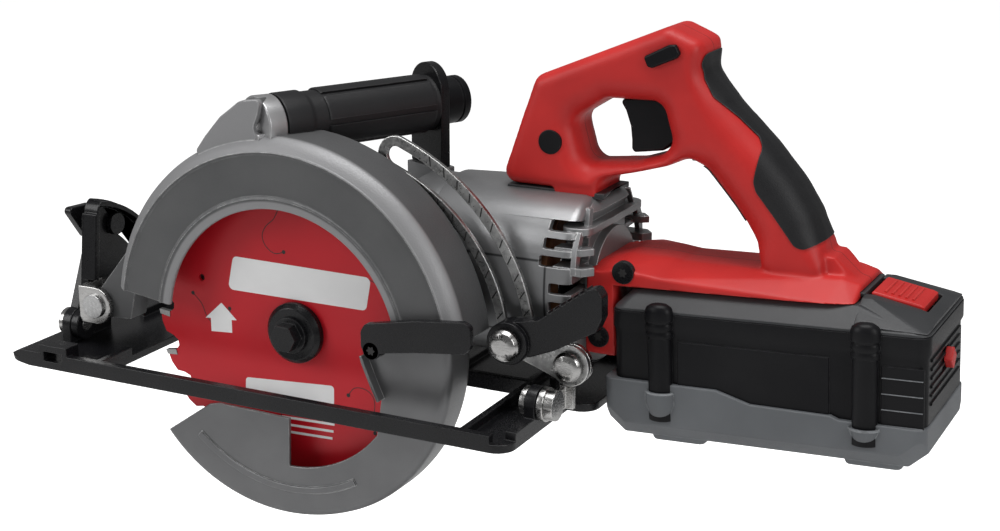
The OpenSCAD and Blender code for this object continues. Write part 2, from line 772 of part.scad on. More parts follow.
// Outline with rounded corners; each radius is limited by the edges beside it
function corner(a, b, c, r) =
    let (u = unit(a - b), v = unit(c - b), half = acos(u * v) / 2)
    let (reach = min(r / tan(half), min(norm(a - b), norm(c - b)) * corner_share), fit = reach * tan(half))
    let (mid = b + unit(u + v) * fit / sin(half), p = b + u * reach - mid, q = b + v * reach - mid)
    let (from = atan2(p[1], p[0]), turn = atan2(p[0] * q[1] - p[1] * q[0], p * q))
    [for (i = [0:arc_steps]) mid + polar(fit, from + turn * i / arc_steps)];
function rounded(points, r) =
    let (n = len(points))
    [for (i = [0:n - 1]) each corner(points[(i + n - 1) % n], points[i], points[(i + 1) % n], r)];

// Turn of a point [x, z] by an angle about +Y
function swung(p, a) = [p[0] * cos(a) + p[1] * sin(a), -p[0] * sin(a) + p[1] * cos(a)];

// Path of the depth stud seen from the bracket while the foot swings
function bracket_path(a) =
    let (pivot = [pivot_x, -pivot_below], stud = [depth_stud_x, depth_stud_z])
    let (pin = pivot + swung(bracket_pin - pivot, a))
    bracket_pin + swung(stud - pin, -a * (1 + bracket_turn));
path_steps = 18;
stud_path = [for (i = [0:path_steps]) bracket_path(depth_max * i / path_steps)];
function path_side(half, i) =
    let (a = stud_path[max(i - 1, 0)], b = stud_path[min(i + 1, path_steps)], d = unit(b - a))
    stud_path[i] + half * [-d[1], d[0]];
function path_band(half) = concat([for (i = [0:path_steps]) path_side(half, i)],
    [for (i = [path_steps:-1:0]) path_side(-half, i)]);

// Carries a form from the arbor to the part's origin
module from_arbor() {
    translate(arbor_at) children();
}

// Outline in X and Z between two places across the blade
module plate_xz(y0, y1) {
    translate([0, y1, 0]) rotate([90, 0, 0]) linear_extrude(y1 - y0) children();
}

// Outline in Y and Z between two places along the saw
module plate_yz(x0, x1) {
    translate([x0, 0, 0]) rotate([90, 0, 90]) linear_extrude(x1 - x0) children();
}

module rod_y(y0, y1, r) {
    translate([0, y0, 0]) rotate([-90, 0, 0]) cylinder(h = y1 - y0, r = r);
}

module rod_x(x0, x1, r) {
    translate([x0, 0, 0]) rotate([0, 90, 0]) cylinder(h = x1 - x0, r = r);
}

module block(low, high) {
    translate(low) cube(high - low);
}

module ring_y(y0, y1, inner, outer) {
    difference() {
        rod_y(y0, y1, outer);
        rod_y(y0 - overrun, y1 + overrun, inner);
    }
}

module ring_x(x0, x1, inner, outer) {
    difference() {
        rod_x(x0, x1, outer);
        rod_x(x0 - overrun, x1 + overrun, inner);
    }
}

// Profile of radius and place across the blade, turned round the arbor between two angles
module turned_y(from, to) {
    rotate([90, 0, 0]) rotate([0, 0, from]) rotate_extrude(angle = to - from) scale([1, -1]) children();
}

module motor_axis() {
    translate([0, motor_y, motor_z]) children();
}

module at_battery() {
    translate([guard_r + battery_x, motor_y, battery_z]) rotate([0, -battery_tilt, 0]) children();
}

module at_top_handle() {
    translate(top_start) rotate([0, 0, -top_turn]) children();
}

module bevel_axis() {
    translate([0, 0, bevel_z]) children();
}

module handle_outline(shares) {
    translate([handle_x, handle_z]) polygon(rounded(scaled(shares, [handle_l, handle_h]), handle_corner_r));
}

module handle_form(shares) {
    translate([handle_x, handle_z]) polygon(scaled(shares, [handle_l, handle_h]));
}

module handle_at(share) {
    translate([handle_x + share[0] * handle_l, 0, handle_z + share[1] * handle_h]) children();
}

// Guard that covers the upper half of the blade, with the top wing and the front lug
module upper_guard() {
    rim_r = guard_r - guard_wall;
    edge_r = guard_r - guard_chamfer;
    color("dimgray") difference() {
        union() {
            turned_y(guard_rear_angle, guard_front_angle) polygon([[sleeve_r + run_gap, guard_back_y],
                [guard_r, guard_back_y], [guard_r, guard_chamfer - guard_face_y], [edge_r, -guard_face_y],
                [guard_ring_r, -guard_face_y], [guard_ring_r, guard_wall - guard_face_y],
                [edge_r - guard_wall / 2, guard_wall - guard_face_y],
                [rim_r, guard_wall / 2 + guard_chamfer - guard_face_y], [rim_r, guard_back_y - guard_wall],
                [sleeve_r + run_gap, guard_back_y - guard_wall]]);
            turned_y(guard_rear_angle, guard_front_angle)
                translate([guard_bead_r - guard_bead_w / 2, -guard_face_y - guard_bead_h])
                square([guard_bead_w, guard_bead_h + root_in]);
            difference() {
                union() {
                    plate_xz(-wing_near, wing_t - wing_near)
                        polygon(scaled(wing_shares, [guard_r, guard_r]));
                    plate_xz(-lug_near, lug_w - lug_near)
                        polygon(concat([[pivot_x - root_in, lug_r - pivot_below]],
                        scaled(lug_shares, [guard_r, guard_r]), [[pivot_x, -lug_r - pivot_below]]));
                    translate([pivot_x, 0, -pivot_below]) rod_y(-lug_near, lug_w - lug_near, lug_r);
                }
                rod_y(-guard_face_y, guard_back_y + overrun, guard_r - root_in);
            }
        }
        translate([pivot_x, 0, -pivot_below]) rod_y(-guard_face_y, guard_face_y, pivot_pin_d / 2 + run_gap);
        at_top_handle() rod_y(-top_rod_in - run_gap, 2 * guard_face_y, top_rod_r + run_gap);
        at_screws(guard_back_y - guard_wall - overrun, guard_screw_r, guard_wall + 2 * overrun,
            case_screw_d);
    }
}

// Screw holes of the guard flange, on the upper half
module at_screws(y, r, l, d) {
    for (i = [0:case_screw_n - 1]) {
        a = guard_screw_from + i * guard_screw_sweep / (case_screw_n - 1);
        translate([r * cos(a), 0, r * sin(a)]) rod_y(y, y + l, d / 2);
    }
}

// Case of the worm gear, with the sleeve for the lower guard and the pad for the top handle
module gear_housing() {
    full_x = motor_x - case_full_l;
    pad_y = top_grip_y + top_grip_l + top_bracket_t / 2 - top_pad[1] / 2;
    color("silver") difference() {
        union() {
            rod_y(sleeve_y, guard_back_y + root_in, sleeve_r);
            rod_y(guard_back_y, case_far_y, case_r);
            difference() {
                rod_y(guard_back_y, guard_back_y + guard_flange_t, guard_flange_r);
                block([-guard_flange_r, 0, -guard_flange_r], [guard_flange_r, case_far_y, 0]);
            }
            motor_axis() {
                rod_x(-case_front, full_x, tunnel_r);
                translate([full_x - case_cone_l, 0, 0]) rotate([0, 90, 0])
                    cylinder(h = case_cone_l, r1 = tunnel_r, r2 = motor_r - hood_step);
                rod_x(full_x, motor_x, motor_r - hood_step);
            }
            at_top_handle() translate([-top_pad[0] / 2, pad_y, top_leg_z - top_start[2] - top_pad[2]])
                cube(top_pad);
            translate([0, lock_y, 0]) rod_x(-lock_boss_x, -chamber_r, lock_pin_d / 2 + lock_boss_wall);
        }
        rod_y(sleeve_y - overrun, arbor_bearing_y - guard_wall, bearing_out_r + slide_gap);
        rod_y(sleeve_y, arbor_bearing_y + overrun, shaft_d / 2 + guard_wall);
        rod_y(arbor_bearing_y, arbor_bearing_y + arbor_bearing_w + root_in, bearing_out_r + run_gap);
        rod_y(arbor_bearing_y + arbor_bearing_w, case_far_y + overrun, chamber_r);
        motor_axis() {
            rod_x(-front_bearing_x, -front_bearing_x + front_bearing_w + root_in,
                front_bearing_d / 2 + run_gap);
            rod_x(-front_bearing_x + front_bearing_w, middle_bearing_x,
                worm_pitch_r + addendum + tunnel_gap);
            rod_x(middle_bearing_x, motor_x + overrun, middle_bearing_d / 2 + run_gap);
        }
        translate([0, lock_y, 0]) rod_x(-lock_boss_x - overrun, 0, lock_pin_d / 2 + run_gap);
        at_screws(guard_back_y - overrun, guard_screw_r, guard_flange_t + 2 * overrun, case_screw_d);
        cover_holes(case_far_y - case_screw_l, case_screw_l + overrun, case_screw_d);
    }
}

// Screw holes round the gear cover
module cover_holes(y, l, d) {
    for (i = [0:case_screw_n - 1]) {
        a = cover_screw_from + i * 360 / case_screw_n;
        r = case_r + cover_rim - case_screw_head_d / 2;
        translate([r * cos(a), 0, r * sin(a)]) rod_y(y, y + l, d / 2);
    }
}

// Cover at the far end of the arbor, with the seat of the needle bearing
module gear_cover() {
    plug_y = shaft_far_y - needle_bearing_w;
    color("silver") difference() {
        union() {
            rod_y(case_far_y, case_far_y + cover_t, case_r + cover_rim);
            rod_y(plug_y, case_far_y + root_in, chamber_r - run_gap);
        }
        rod_y(plug_y - overrun, plug_y + needle_bearing_w + root_in, needle_bearing_d / 2 + run_gap);
        cover_holes(case_far_y - overrun, cover_t + 2 * overrun, case_screw_d);
        cover_pockets();
        block([-2 * case_r, 0, -2 * case_r], [2 * case_r, 2 * case_far_y, -case_r]);
    }
}

// Recesses that keep the plug clear of the cover screws
module cover_pockets() {
    cover_holes(case_far_y - case_screw_l - overrun, case_screw_l + overrun, case_screw_d + root_in);
}

// Screws of the gear cover and of the guard flange
module case_screws() {
    color("gray") {
        cover_holes(case_far_y - case_screw_l + overrun, cover_t + case_screw_l - overrun,
            case_screw_d - 2 * run_gap);
        cover_holes(case_far_y + cover_t, case_screw_head_h, case_screw_head_d);
        at_screws(guard_back_y - guard_wall, guard_screw_r, guard_wall + guard_flange_t,
            case_screw_d - 2 * run_gap);
        at_screws(guard_back_y + guard_flange_t, guard_screw_r, case_screw_head_h, case_screw_head_d);
    }
}

// Motor housing with vents, rear hood and the neck that plugs into the handle base
module motor_housing() {
    hood_r = motor_r - hood_step;
    color("silver") difference() {
        union() {
            motor_axis() {
                rod_x(motor_x, motor_end, motor_r);
                rod_x(motor_end - root_in, motor_end + neck_l, neck_r);
                difference() {
                    rod_x(motor_end - root_in, motor_end + hood_l, hood_r);
                    block([motor_end - 2 * root_in, -motor_r, -motor_r],
                        [motor_end + hood_l + overrun, motor_r, hood_z]);
                    block([motor_end - 2 * root_in, -base_w / 2 - slide_gap, -motor_r],
                        [motor_end + hood_l + overrun, base_w / 2 + slide_gap, base_h - motor_z + slide_gap]);
                    rod_x(motor_end - 2 * root_in, motor_end + hood_l - motor_end_t, hood_r - motor_wall);
                }
            }
            translate([depth_stud_x, 0, depth_stud_z])
                rod_y(bracket_y + bracket_t + slide_gap, motor_y - neck_r, stud_boss_r);
        }
        motor_axis() {
            rod_x(motor_x - overrun, motor_end - motor_end_t, motor_r - motor_wall);
            rod_x(motor_end - root_in - motor_end_t, motor_end + neck_l + overrun, neck_r - motor_wall);
            vents(vent_first, vent_n, motor_end + hood_l - motor_end_t - vent_l, vent_l);
            vents(low_vent_first, low_vent_n, motor_end - motor_end_t - low_vent_l, low_vent_l);
        }
        translate([depth_stud_x, 0, depth_stud_z]) rod_y(0, motor_y, depth_stud_d / 2 + run_gap);
    }
    color("silver") motor_axis() {
        ring_x(motor_end - motor_end_t - rear_bearing_w, motor_end - motor_end_t + root_in,
            rear_bearing_d / 2 + run_gap, rear_bearing_d / 2 + rear_hub_wall);
        ring_x(motor_end - motor_end_t, motor_end, worm_shaft_d / 2 + root_in, neck_r);
    }
}

// Vent slots on both sides of the motor
module vents(first, count, x, l) {
    for (side = [-1, 1]) {
        for (i = [0:count - 1]) {
            mirror([0, side < 0 ? 1 : 0, 0]) rotate([first + i * vent_step, 0, 0])
                block([x, motor_r - 3 * motor_wall, -vent_w / 2], [x + l, motor_r + motor_wall,
                    vent_w / 2]);
        }
    }
}

// Wound core of the motor
module stator() {
    color("saddlebrown") motor_axis() ring_x(stator_x, stator_x + stator_l, stator_r - stator_wall,
        stator_r);
}

// Ball bearing and needle bearing of the arbor
module arbor_bearings() {
    far_y = shaft_far_y - needle_bearing_w;
    color("gray") {
        ring_y(arbor_bearing_y, arbor_bearing_y + arbor_bearing_w, shaft_d / 2 + run_gap, bearing_out_r);
        ring_y(far_y, shaft_far_y, shaft_d / 2 + run_gap, needle_bearing_d / 2);
    }
}

// Front, middle and rear bearings of the worm shaft
module rotor_bearings() {
    bore_r = worm_shaft_d / 2 + run_gap;
    rear = motor_end - motor_end_t - rear_bearing_w;
    color("gray") motor_axis() {
        ring_x(-front_bearing_x, -front_bearing_x + front_bearing_w, bore_r, front_bearing_d / 2);
        ring_x(middle_bearing_x, middle_bearing_x + middle_bearing_w, bore_r, middle_bearing_d / 2);
        ring_x(rear, rear + rear_bearing_w, bore_r, rear_bearing_d / 2);
    }
}

// Ring that keeps the lower guard on its sleeve
module guard_retainer() {
    color("gray") ring_y(sleeve_y, lower_back_y - lower_wall - slide_gap, sleeve_r + run_gap,
        lower_hub_r - overrun);
}

// Flat return spring between the two guards
module guard_spring() {
    color("gray") ring_y(lower_back_y + slide_gap, guard_back_y - guard_wall, sleeve_r + slide_gap,
        lower_hub_r);
}

// Handle and base as one form, before it is split down the middle
module handle_solid() {
    side = handle_w / 2;
    half = base_w / 2;
    size = [base_l, base_h];
    translate([0, motor_y, 0]) {
        difference() {
            plate_xz(-side, side) handle_outline(handle_shares);
            plate_xz(-half, half) handle_outline(finger_shares);
        }
        difference() {
            translate([guard_r + base_x, 0, 0]) plate_xz(-half, half)
                polygon(rounded(scaled(base_shares, size), base_corner_r));
            for (s = [-1, 1]) {
                translate([0, s * half, base_h]) rotate([half_square, 0, 0])
                    block([guard_r, -base_chamfer, -base_chamfer],
                    [guard_r + base_x + base_l + overrun, base_chamfer, base_chamfer]);
            }
        }
    }
}

// Everything that is cut out of the two shells
module handle_cuts() {
    motor_axis() rod_x(motor_end - overrun, motor_end + neck_l + slide_gap, neck_r + run_gap);
    translate([0, motor_y, 0]) plate_xz(-trigger_w / 2 - trigger_gap, trigger_w / 2 + trigger_gap)
        handle_form(trigger_slot_shares);
    handle_at(trigger_pin_share) translate([0, motor_y, 0])
        rod_y(-trigger_w / 2 - trigger_pin_in, trigger_w / 2 + trigger_pin_in, trigger_pin_d / 2 + run_gap);
    lock_off_block(lock_off_travel + slide_gap, slide_gap);
    switch_block(0);
    controller_block(0);
    at_battery() battery_envelope();
    rear_pad_solid();
    front_pad_solid();
    plug_solids();
    base_screw_solids();
}

// Room that the battery needs under the base
module battery_envelope() {
    half = rail_neck_w / 2 + slide_gap;
    head = rail_head_w / 2 + slide_gap;
    neck_z = cover_h + rail_neck_h;
    end = battery_l + overrun;
    block([-slide_gap, -battery_w, -battery_case_h], [end, battery_w, cover_h + slide_gap]);
    block([rail_x - terminal_size[0], -half, 0], [end, half, neck_z + slide_gap]);
    block([rail_x - terminal_size[0], -head, neck_z - slide_gap], [end, head,
        neck_z + rail_head_h + slide_gap]);
}

module handle_left() {
    color("firebrick") difference() {
        intersection() {
            handle_solid();
            block([0, motor_y - base_w, -base_h], [guard_r + handle_l + base_l, motor_y, 2 * handle_h]);
        }
        handle_cuts();
    }
}

module handle_right() {
    color("firebrick") difference() {
        intersection() {
            handle_solid();
            block([0, motor_y, -base_h], [guard_r + handle_l + base_l, motor_y + base_w, 2 * handle_h]);
        }
        handle_cuts();
    }
}

// Pad that wraps the back of the grip
module rear_pad_solid() {
    out = handle_w / 2 + pad_rise;
    inner = handle_w / 2 + pad_rise - pad_t;
    translate([0, motor_y, 0]) difference() {
        intersection() {
            plate_xz(-out, out) handle_outline(handle_shares);
            plate_xz(-out - overrun, out + overrun) handle_form(pad_shares);
        }
        plate_xz(-inner, inner) translate(-pad_t * grip_normal) handle_outline(handle_shares);
    }
}

module rear_grip_pad() {
    color("black") rear_pad_solid();
}

// Pad along the front of the grip
module front_pad_solid() {
    line = scaled(front_pad_shares, [handle_l, handle_h]);
    half = front_pad_w / 2;
    back = moved(line, front_pad_t * grip_normal);
    n = len(line) - 1;
    translate([handle_x, motor_y, handle_z]) plate_xz(-half, half)
        polygon(concat(line, [for (i = [n:-1:0]) back[i]]));
}

module front_grip_pad() {
    color("black") front_pad_solid();
}

module plug_solids() {
    handle_at(plug_share) translate([0, motor_y, 0]) {
        for (s = [-1, 1]) {
            translate([0, s * (handle_w / 2 + proud - plug_t / 2), 0])
                rod_y(-plug_t / 2, plug_t / 2, plug_d / 2);
        }
    }
}

module handle_plugs() {
    color("black") plug_solids();
}

module base_screw_solids() {
    for (at = [base_screw_high, base_screw_low]) {
        translate([guard_r + at[0], motor_y, at[1]]) {
            for (s = [-1, 1]) {
                mirror([0, s < 0 ? 0 : 1, 0]) {
                    rod_y(-base_w / 2 - proud, base_screw_head_t - base_w / 2, base_screw_head_d / 2);
                    rod_y(-base_w / 2, base_screw_l - base_w / 2, base_screw_d / 2);
                }
            }
        }
    }
}

module base_screws() {
    color("black") base_screw_solids();
}

module switch_block(gap) {
    size = switch_size + 2 * [gap, gap, gap];
    handle_at(switch_share) translate([0, motor_y, 0]) translate(-size / 2) cube(size);
}

module switch_module() {
    color("darkslategray") switch_block(-run_gap);
}

module controller_block(gap) {
    size = controller_size + 2 * [gap, gap, gap];
    at_battery() translate([rail_x + controller_size[0] / 2 + terminal_size[0], 0,
        cover_h + rail_neck_h + rail_head_h + slide_gap + controller_size[2] / 2 + root_in])
        translate(-size / 2) cube(size);
}

module controller() {
    color("darkgreen") controller_block(-run_gap);
}

// Contact block in the base, with three blades that enter the battery
module terminal_block() {
    low = cover_h + rail_neck_h;
    color("goldenrod") at_battery() {
        translate([rail_x - terminal_size[0], -terminal_size[1] / 2, low - slide_gap]) cube(terminal_size);
        for (i = [-1:1]) {
            translate([rail_x - root_in, i * terminal_pitch - blade_size[1] / 2, low])
                cube(blade_size + [root_in, 0, 0]);
        }
    }
}

// Sleeve of the top handle, hollowed below to sit on the rim of the guard
module top_grip() {
    color("black") difference() {
        at_top_handle() ring_y(top_grip_y, top_grip_y + top_grip_l, top_rod_r + run_gap, top_grip_r);
        rod_y(-guard_face_y, guard_back_y + slide_gap, guard_r + slide_gap);
    }
}

module top_rod() {
    end = top_grip_y + top_grip_l + top_bracket_t + top_cap_l / 2;
    color("gray") at_top_handle() rod_y(-top_rod_in, end, top_rod_r);
}

// Bracket between the gear case and the far end of the top handle
module top_bracket() {
    near = top_grip_y + top_grip_l;
    low = top_leg_z - top_start[2];
    color("black") at_top_handle() difference() {
        union() {
            translate([0, 0, top_bracket_rise]) rod_y(near, near + top_bracket_t, top_bracket_r);
            block([-top_leg_w / 2, near, low], [top_leg_w / 2, near + top_bracket_t, top_bracket_rise]);
        }
        rod_y(near - overrun, near + top_bracket_t + overrun, top_rod_r + run_gap);
    }
}

module top_cap() {
    near = top_grip_y + top_grip_l + top_bracket_t;
    r = top_cap_r;
    color("black") at_top_handle() difference() {
        rotate([-90, 0, 0]) translate([0, 0, near]) rotate_extrude() polygon([[0, 0], [r, 0],
            [r, top_cap_l - top_cap_chamfer], [r - top_cap_chamfer, top_cap_l], [0, top_cap_l]]);
        rod_y(near - overrun, near + top_cap_l / 2 + run_gap, top_rod_r + run_gap);
    }
}

// Clamp stud of the depth bracket, fixed in the motor housing
module depth_stud() {
    head_y = bracket_y - slide_gap - depth_hub_w;
    color("lightgray") translate([depth_stud_x, 0, depth_stud_z]) {
        rod_y(head_y - root_in, stud_end_y, depth_stud_d / 2);
        dome_y(head_y - slide_gap, depth_head_h, depth_head_d / 2);
    }
}

// Domed head that rises towards the blade side
module dome_y(y, h, r) {
    rotate([90, 0, 0]) translate([0, 0, -y]) rotate_extrude() polygon(scaled(dome_shares, [r, h]));
}

// Dark trim between the motor housing and the handle
module motor_trim() {
    x = guard_r - trim_ahead;
    z = motor_z + motor_r;
    color("darkslategray") difference() {
        block([x, motor_y - trim[1] / 2, z - trim_drop], [x + trim[0], motor_y + trim[1] / 2,
            handle_z + handle_shares[0][1] * handle_h]);
        motor_axis() rod_x(x - overrun, x + trim[0] + overrun, motor_r + run_gap);
    }
}

// Outline of the blade with hooked gullets
function blade_points() = [for (i = [0:tooth_n - 1]) each [for (s = tooth_shares)
    polar(blade_d / 2 - s[0] * gullet_h, (i + s[1]) * 360 / tooth_n)]];

module tips(half) {
    for (i = [0:tooth_n - 1]) {
        rotate([0, -i * 360 / tooth_n, 0]) plate_xz(-half, half)
            polygon(moved(scaled(tip_shares, [tip_l, tip_t]), [blade_d / 2, 0]));
    }
}

module blade() {
    half = blade_t / 2;
    color("crimson") difference() {
        plate_xz(-half, half) polygon(blade_points());
        rod_y(-overrun, overrun, nose_d / 2 + run_gap);
        tips(kerf_w);
        for (i = [0:relief_n - 1]) {
            rotate([0, i * 360 / relief_n + relief_from, 0]) translate([relief_r, 0, 0])
                rod_y(-overrun, overrun, relief_d / 2);
        }
    }
}

module carbide_tips() {
    color("lightgray") tips(kerf_w / 2);
}

module inner_flange() {
    color("gray") ring_y(blade_t / 2, blade_t / 2 + flange_t, nose_d / 2 + run_gap, inner_flange_d / 2);
}

module outer_flange() {
    near = blade_t / 2;
    r = outer_flange_d / 2;
    color("black") difference() {
        rotate([90, 0, 0]) translate([0, 0, near]) rotate_extrude() polygon([[bolt_d / 2 + run_gap, 0],
            [r, 0],
            [r, flange_t - outer_flange_chamfer], [r - outer_flange_chamfer, flange_t],
            [bolt_d / 2 + run_gap, flange_t]]);
        rod_y(-nose_l - run_gap, 0, nose_d / 2 + run_gap);
    }
}

module blade_bolt() {
    seat = blade_t / 2 + flange_t;
    color("black") {
        rod_y(-seat - bolt_collar_t, -seat, bolt_collar_d / 2);
        translate([0, -seat - bolt_collar_t + root_in, 0]) rotate([90, 0, 0])
            cylinder(h = bolt_head_h + root_in, d = bolt_head_d, $fn = 6);
        rod_y(-seat - root_in, bolt_in, bolt_d / 2);
    }
}

module arbor_shaft() {
    shoulder = blade_t / 2 + flange_t;
    color("gray") difference() {
        union() {
            rod_y(-nose_l, shoulder, nose_d / 2);
            rod_y(shoulder, shaft_far_y, shaft_d / 2);
        }
        rod_y(-nose_l - overrun, bolt_in + root_in, bolt_d / 2 + run_gap);
    }
}

// Outline of teeth round a circle: thickness as shares of the pitch at root, pitch and tip
gear_shares = [0.62, 0.4, 0.2];
function gear_points(n, r) = [for (i = [0:n - 1]) each [for (s = [[-gear_shares[0], -dedendum],
    [-gear_shares[1], 0], [-gear_shares[2], addendum], [gear_shares[2], addendum], [gear_shares[1], 0],
    [gear_shares[0], -dedendum]]) polar(r + s[1], (i + s[0] / 2) * 360 / n)]];

// Wheel on the arbor; a gap of its teeth faces the worm
module worm_wheel() {
    color("goldenrod") translate([0, motor_y, 0]) difference() {
        rotate([-90, 0, 0]) rotate([0, 0, -90 + 180 / wheel_teeth - wheel_twist / 2])
            translate([0, 0, -wheel_w / 2]) linear_extrude(height = wheel_w, twist = -wheel_twist,
                slices = wheel_slices)
            polygon(gear_points(wheel_teeth, wheel_pitch_r));
        rod_y(-wheel_w, wheel_w, shaft_d / 2 + run_gap);
    }
}

// Worm and motor shaft in one piece
module worm_shaft() {
    turns = worm_l / lead * 360;
    color("gray") motor_axis() {
        rotate([0, 90, 0]) rotate([0, 0, -turns / 2]) translate([0, 0, -worm_l / 2])
            linear_extrude(height = worm_l, twist = -turns, slices = worm_slices)
            polygon(gear_points(worm_starts, worm_pitch_r));
        rod_x(-front_bearing_x, motor_end - motor_end_t, worm_shaft_d / 2);
    }
}

module rotor() {
    color("dimgray") motor_axis() ring_x(stator_x, stator_x + stator_l, worm_shaft_d / 2 + run_gap,
        rotor_r);
}

// Fan ahead of the stator
module fan() {
    x = motor_x + fan_in;
    color("darkslategray") motor_axis() difference() {
        union() {
            rod_x(x, x + fan_w, fan_hub_r);
            rod_x(x, x + fan_t, fan_d / 2);
            for (i = [0:fan_n - 1]) {
                rotate([i * 360 / fan_n, 0, 0]) block([x, fan_hub_r - root_in, -fan_t / 2],
                    [x + fan_w, fan_d / 2 - root_in, fan_t / 2]);
            }
        }
        rod_x(x - overrun, x + fan_w + overrun, worm_shaft_d / 2 + run_gap);
    }
}

// Guard that swings away from the lower half of the blade
module lower_guard() {
    in_r = lower_r - lower_wall;
    cut = concat(scaled(window_front_shares, [guard_r, guard_r]), arc(window_r, window_ends[0],
        window_ends[1], window_steps),
        scaled(window_rear_shares, [guard_r, guard_r]));
    color("gray") difference() {
        union() {
            difference() {
                turned_y(lower_front_angle, lower_rear_angle) polygon([[sleeve_r, lower_back_y],
                    [lower_r, lower_back_y], [lower_r, -lower_face_y], [guard_ring_r / 2, -lower_face_y],
                    [guard_ring_r / 2, lower_wall - lower_face_y], [in_r, lower_wall - lower_face_y],
                    [in_r, lower_back_y - lower_wall], [sleeve_r, lower_back_y - lower_wall]]);
                plate_xz(-lower_face_y - overrun, 0) polygon(cut);
            }
            rod_y(lower_back_y - lower_wall + hub_step, lower_back_y - hub_step, lower_hub_r);
        }
        rod_y(0, lower_back_y + overrun, sleeve_r + run_gap);
        translate([lever_boss[0], 0, lever_boss[1]])
            rod_y(-lower_face_y - overrun, 0, case_screw_d / 2 + run_gap);
    }
}

// Lever that lifts the lower guard by hand
module guard_lever() {
    color("black") difference() {
        union() {
            translate([lever_x, 0, lever_z]) plate_xz(-lever_face_y, lever_t - lever_face_y)
                polygon(rounded(scaled(lever_shares, [lever_l, lever_h]), lever_t));
            translate([lever_boss[0], 0, lever_boss[1]]) rod_y(-lever_face_y, -lower_face_y, lever_boss_r);
        }
        translate([lever_boss[0], 0, lever_boss[1]]) {
            rod_y(-lever_face_y - overrun, lever_screw_t - lever_face_y, lever_screw_d / 2 + run_gap);
            rod_y(-lever_face_y, 0, case_screw_d / 2 + run_gap);
        }
    }
}

module lever_screw() {
    color("gray") translate([lever_boss[0], 0, lever_boss[1]]) {
        rod_y(-lever_face_y, lever_screw_t - lever_face_y, lever_screw_d / 2);
        rod_y(-lever_face_y, lower_wall - lower_face_y, case_screw_d / 2);
    }
}

// Slotted quadrant for the bevel, on the depth carriage
module bevel_quadrant() {
    half = stud_d / 2 + slide_gap;
    low_angle = stud_angle - bevel_max;
    post_z = clevis_r - pivot_below - bevel_z + root_in;
    rim_from = stud_angle - quadrant_rim_ahead;
    rim_sweep = quadrant_high - rim_from - quadrant_margin / 5;
    color("black") bevel_axis() difference() {
        union() {
            plate_yz(quadrant_x, quadrant_x + quadrant_t)
                polygon(concat([[0, 0]], arc(quadrant_r, low_angle - quadrant_margin, quadrant_high,
                    quadrant_steps)));
            rod_x(quadrant_x, quadrant_x + quadrant_t, ear_r);
            translate([quadrant_x + root_in / 2, 0, 0]) rotate([90, 0, 90]) rotate([0, 0, rim_from])
                rotate_extrude(angle = rim_sweep) translate([quadrant_r - quadrant_rim_w, 0])
                square([quadrant_rim_w - root_in, quadrant_rim]);
            rotate([quadrant_high - 90, 0, 0]) block([quadrant_x, 0, post_z],
                [quadrant_x + quadrant_rim, quadrant_rim_w, quadrant_r - 2 * root_in]);
        }
        translate([quadrant_x - overrun, 0, 0]) rotate([90, 0, 90]) rotate([0, 0, low_angle])
            rotate_extrude(angle = bevel_max) translate([quadrant_slot_r - half, 0])
            square([2 * half, quadrant_t + 2 * overrun]);
        for (a = [low_angle, stud_angle]) {
            translate([0, quadrant_slot_r * cos(a), quadrant_slot_r * sin(a)])
                rod_x(quadrant_x - overrun, quadrant_x + quadrant_t + overrun, half);
        }
        rod_x(quadrant_x - overrun, quadrant_x + quadrant_t + overrun, bevel_pin_d / 2 + run_gap);
    }
}

// Clevis of the depth pivot
module pivot_clevis() {
    near = -lug_near - slide_gap;
    far = lug_w - lug_near + slide_gap;
    color("silver") translate([pivot_x, 0, -pivot_below]) difference() {
        union() {
            for (y = [near - clevis_t, far]) {
                rod_y(y, y + clevis_t, clevis_r);
                block([-clevis_r, y, -clevis_r], [0, y + clevis_t, clevis_r]);
            }
            block([-clevis_r, near - clevis_t, -clevis_r],
                [clevis_t - clevis_r - root_in, far + clevis_t, clevis_r]);
        }
        rod_y(-guard_face_y, 2 * guard_face_y, pivot_pin_d / 2 + run_gap);
    }
}

module pivot_pin() {
    near = -lug_near - slide_gap - clevis_t;
    far = lug_w - lug_near + slide_gap + clevis_t;
    color("lightgray") translate([pivot_x, 0, -pivot_below]) {
        rod_y(near - pivot_head_t, far + pivot_head_t, pivot_pin_d / 2);
        rod_y(near - pivot_head_t, near, pivot_head_d / 2);
        rod_y(far, far + pivot_head_t, pivot_head_d / 2);
    }
}

// Angle plate that ties the bracket pin to the rear bevel pin
module rear_link() {
    x = rear_x + link_gap;
    y = bracket_y + bracket_t + slide_gap;
    top = bracket_pin[1];
    color("silver") difference() {
        union() {
            bevel_axis() rod_x(x, x + link_t, ear_r);
            bevel_axis() block([x, 0, -ear_r], [x + link_t, y + link_t, ear_r / 3]);
            block([x, y, bevel_z - ear_r], [bracket_pin[0] + root_in, y + link_t, top]);
            translate([bracket_pin[0], 0, top]) rod_y(y, y + link_t, bracket_eye_r);
            block([x, y, bevel_z], [bracket_pin[0], y + link_t, top + bracket_eye_r - root_in]);
        }
        bevel_axis() rod_x(x - overrun, x + link_t + overrun, bevel_pin_d / 2 + run_gap);
        translate([bracket_pin[0], 0, top])
            rod_y(y - overrun, y + link_t + overrun, bracket_pin_d / 2 + run_gap);
    }
}

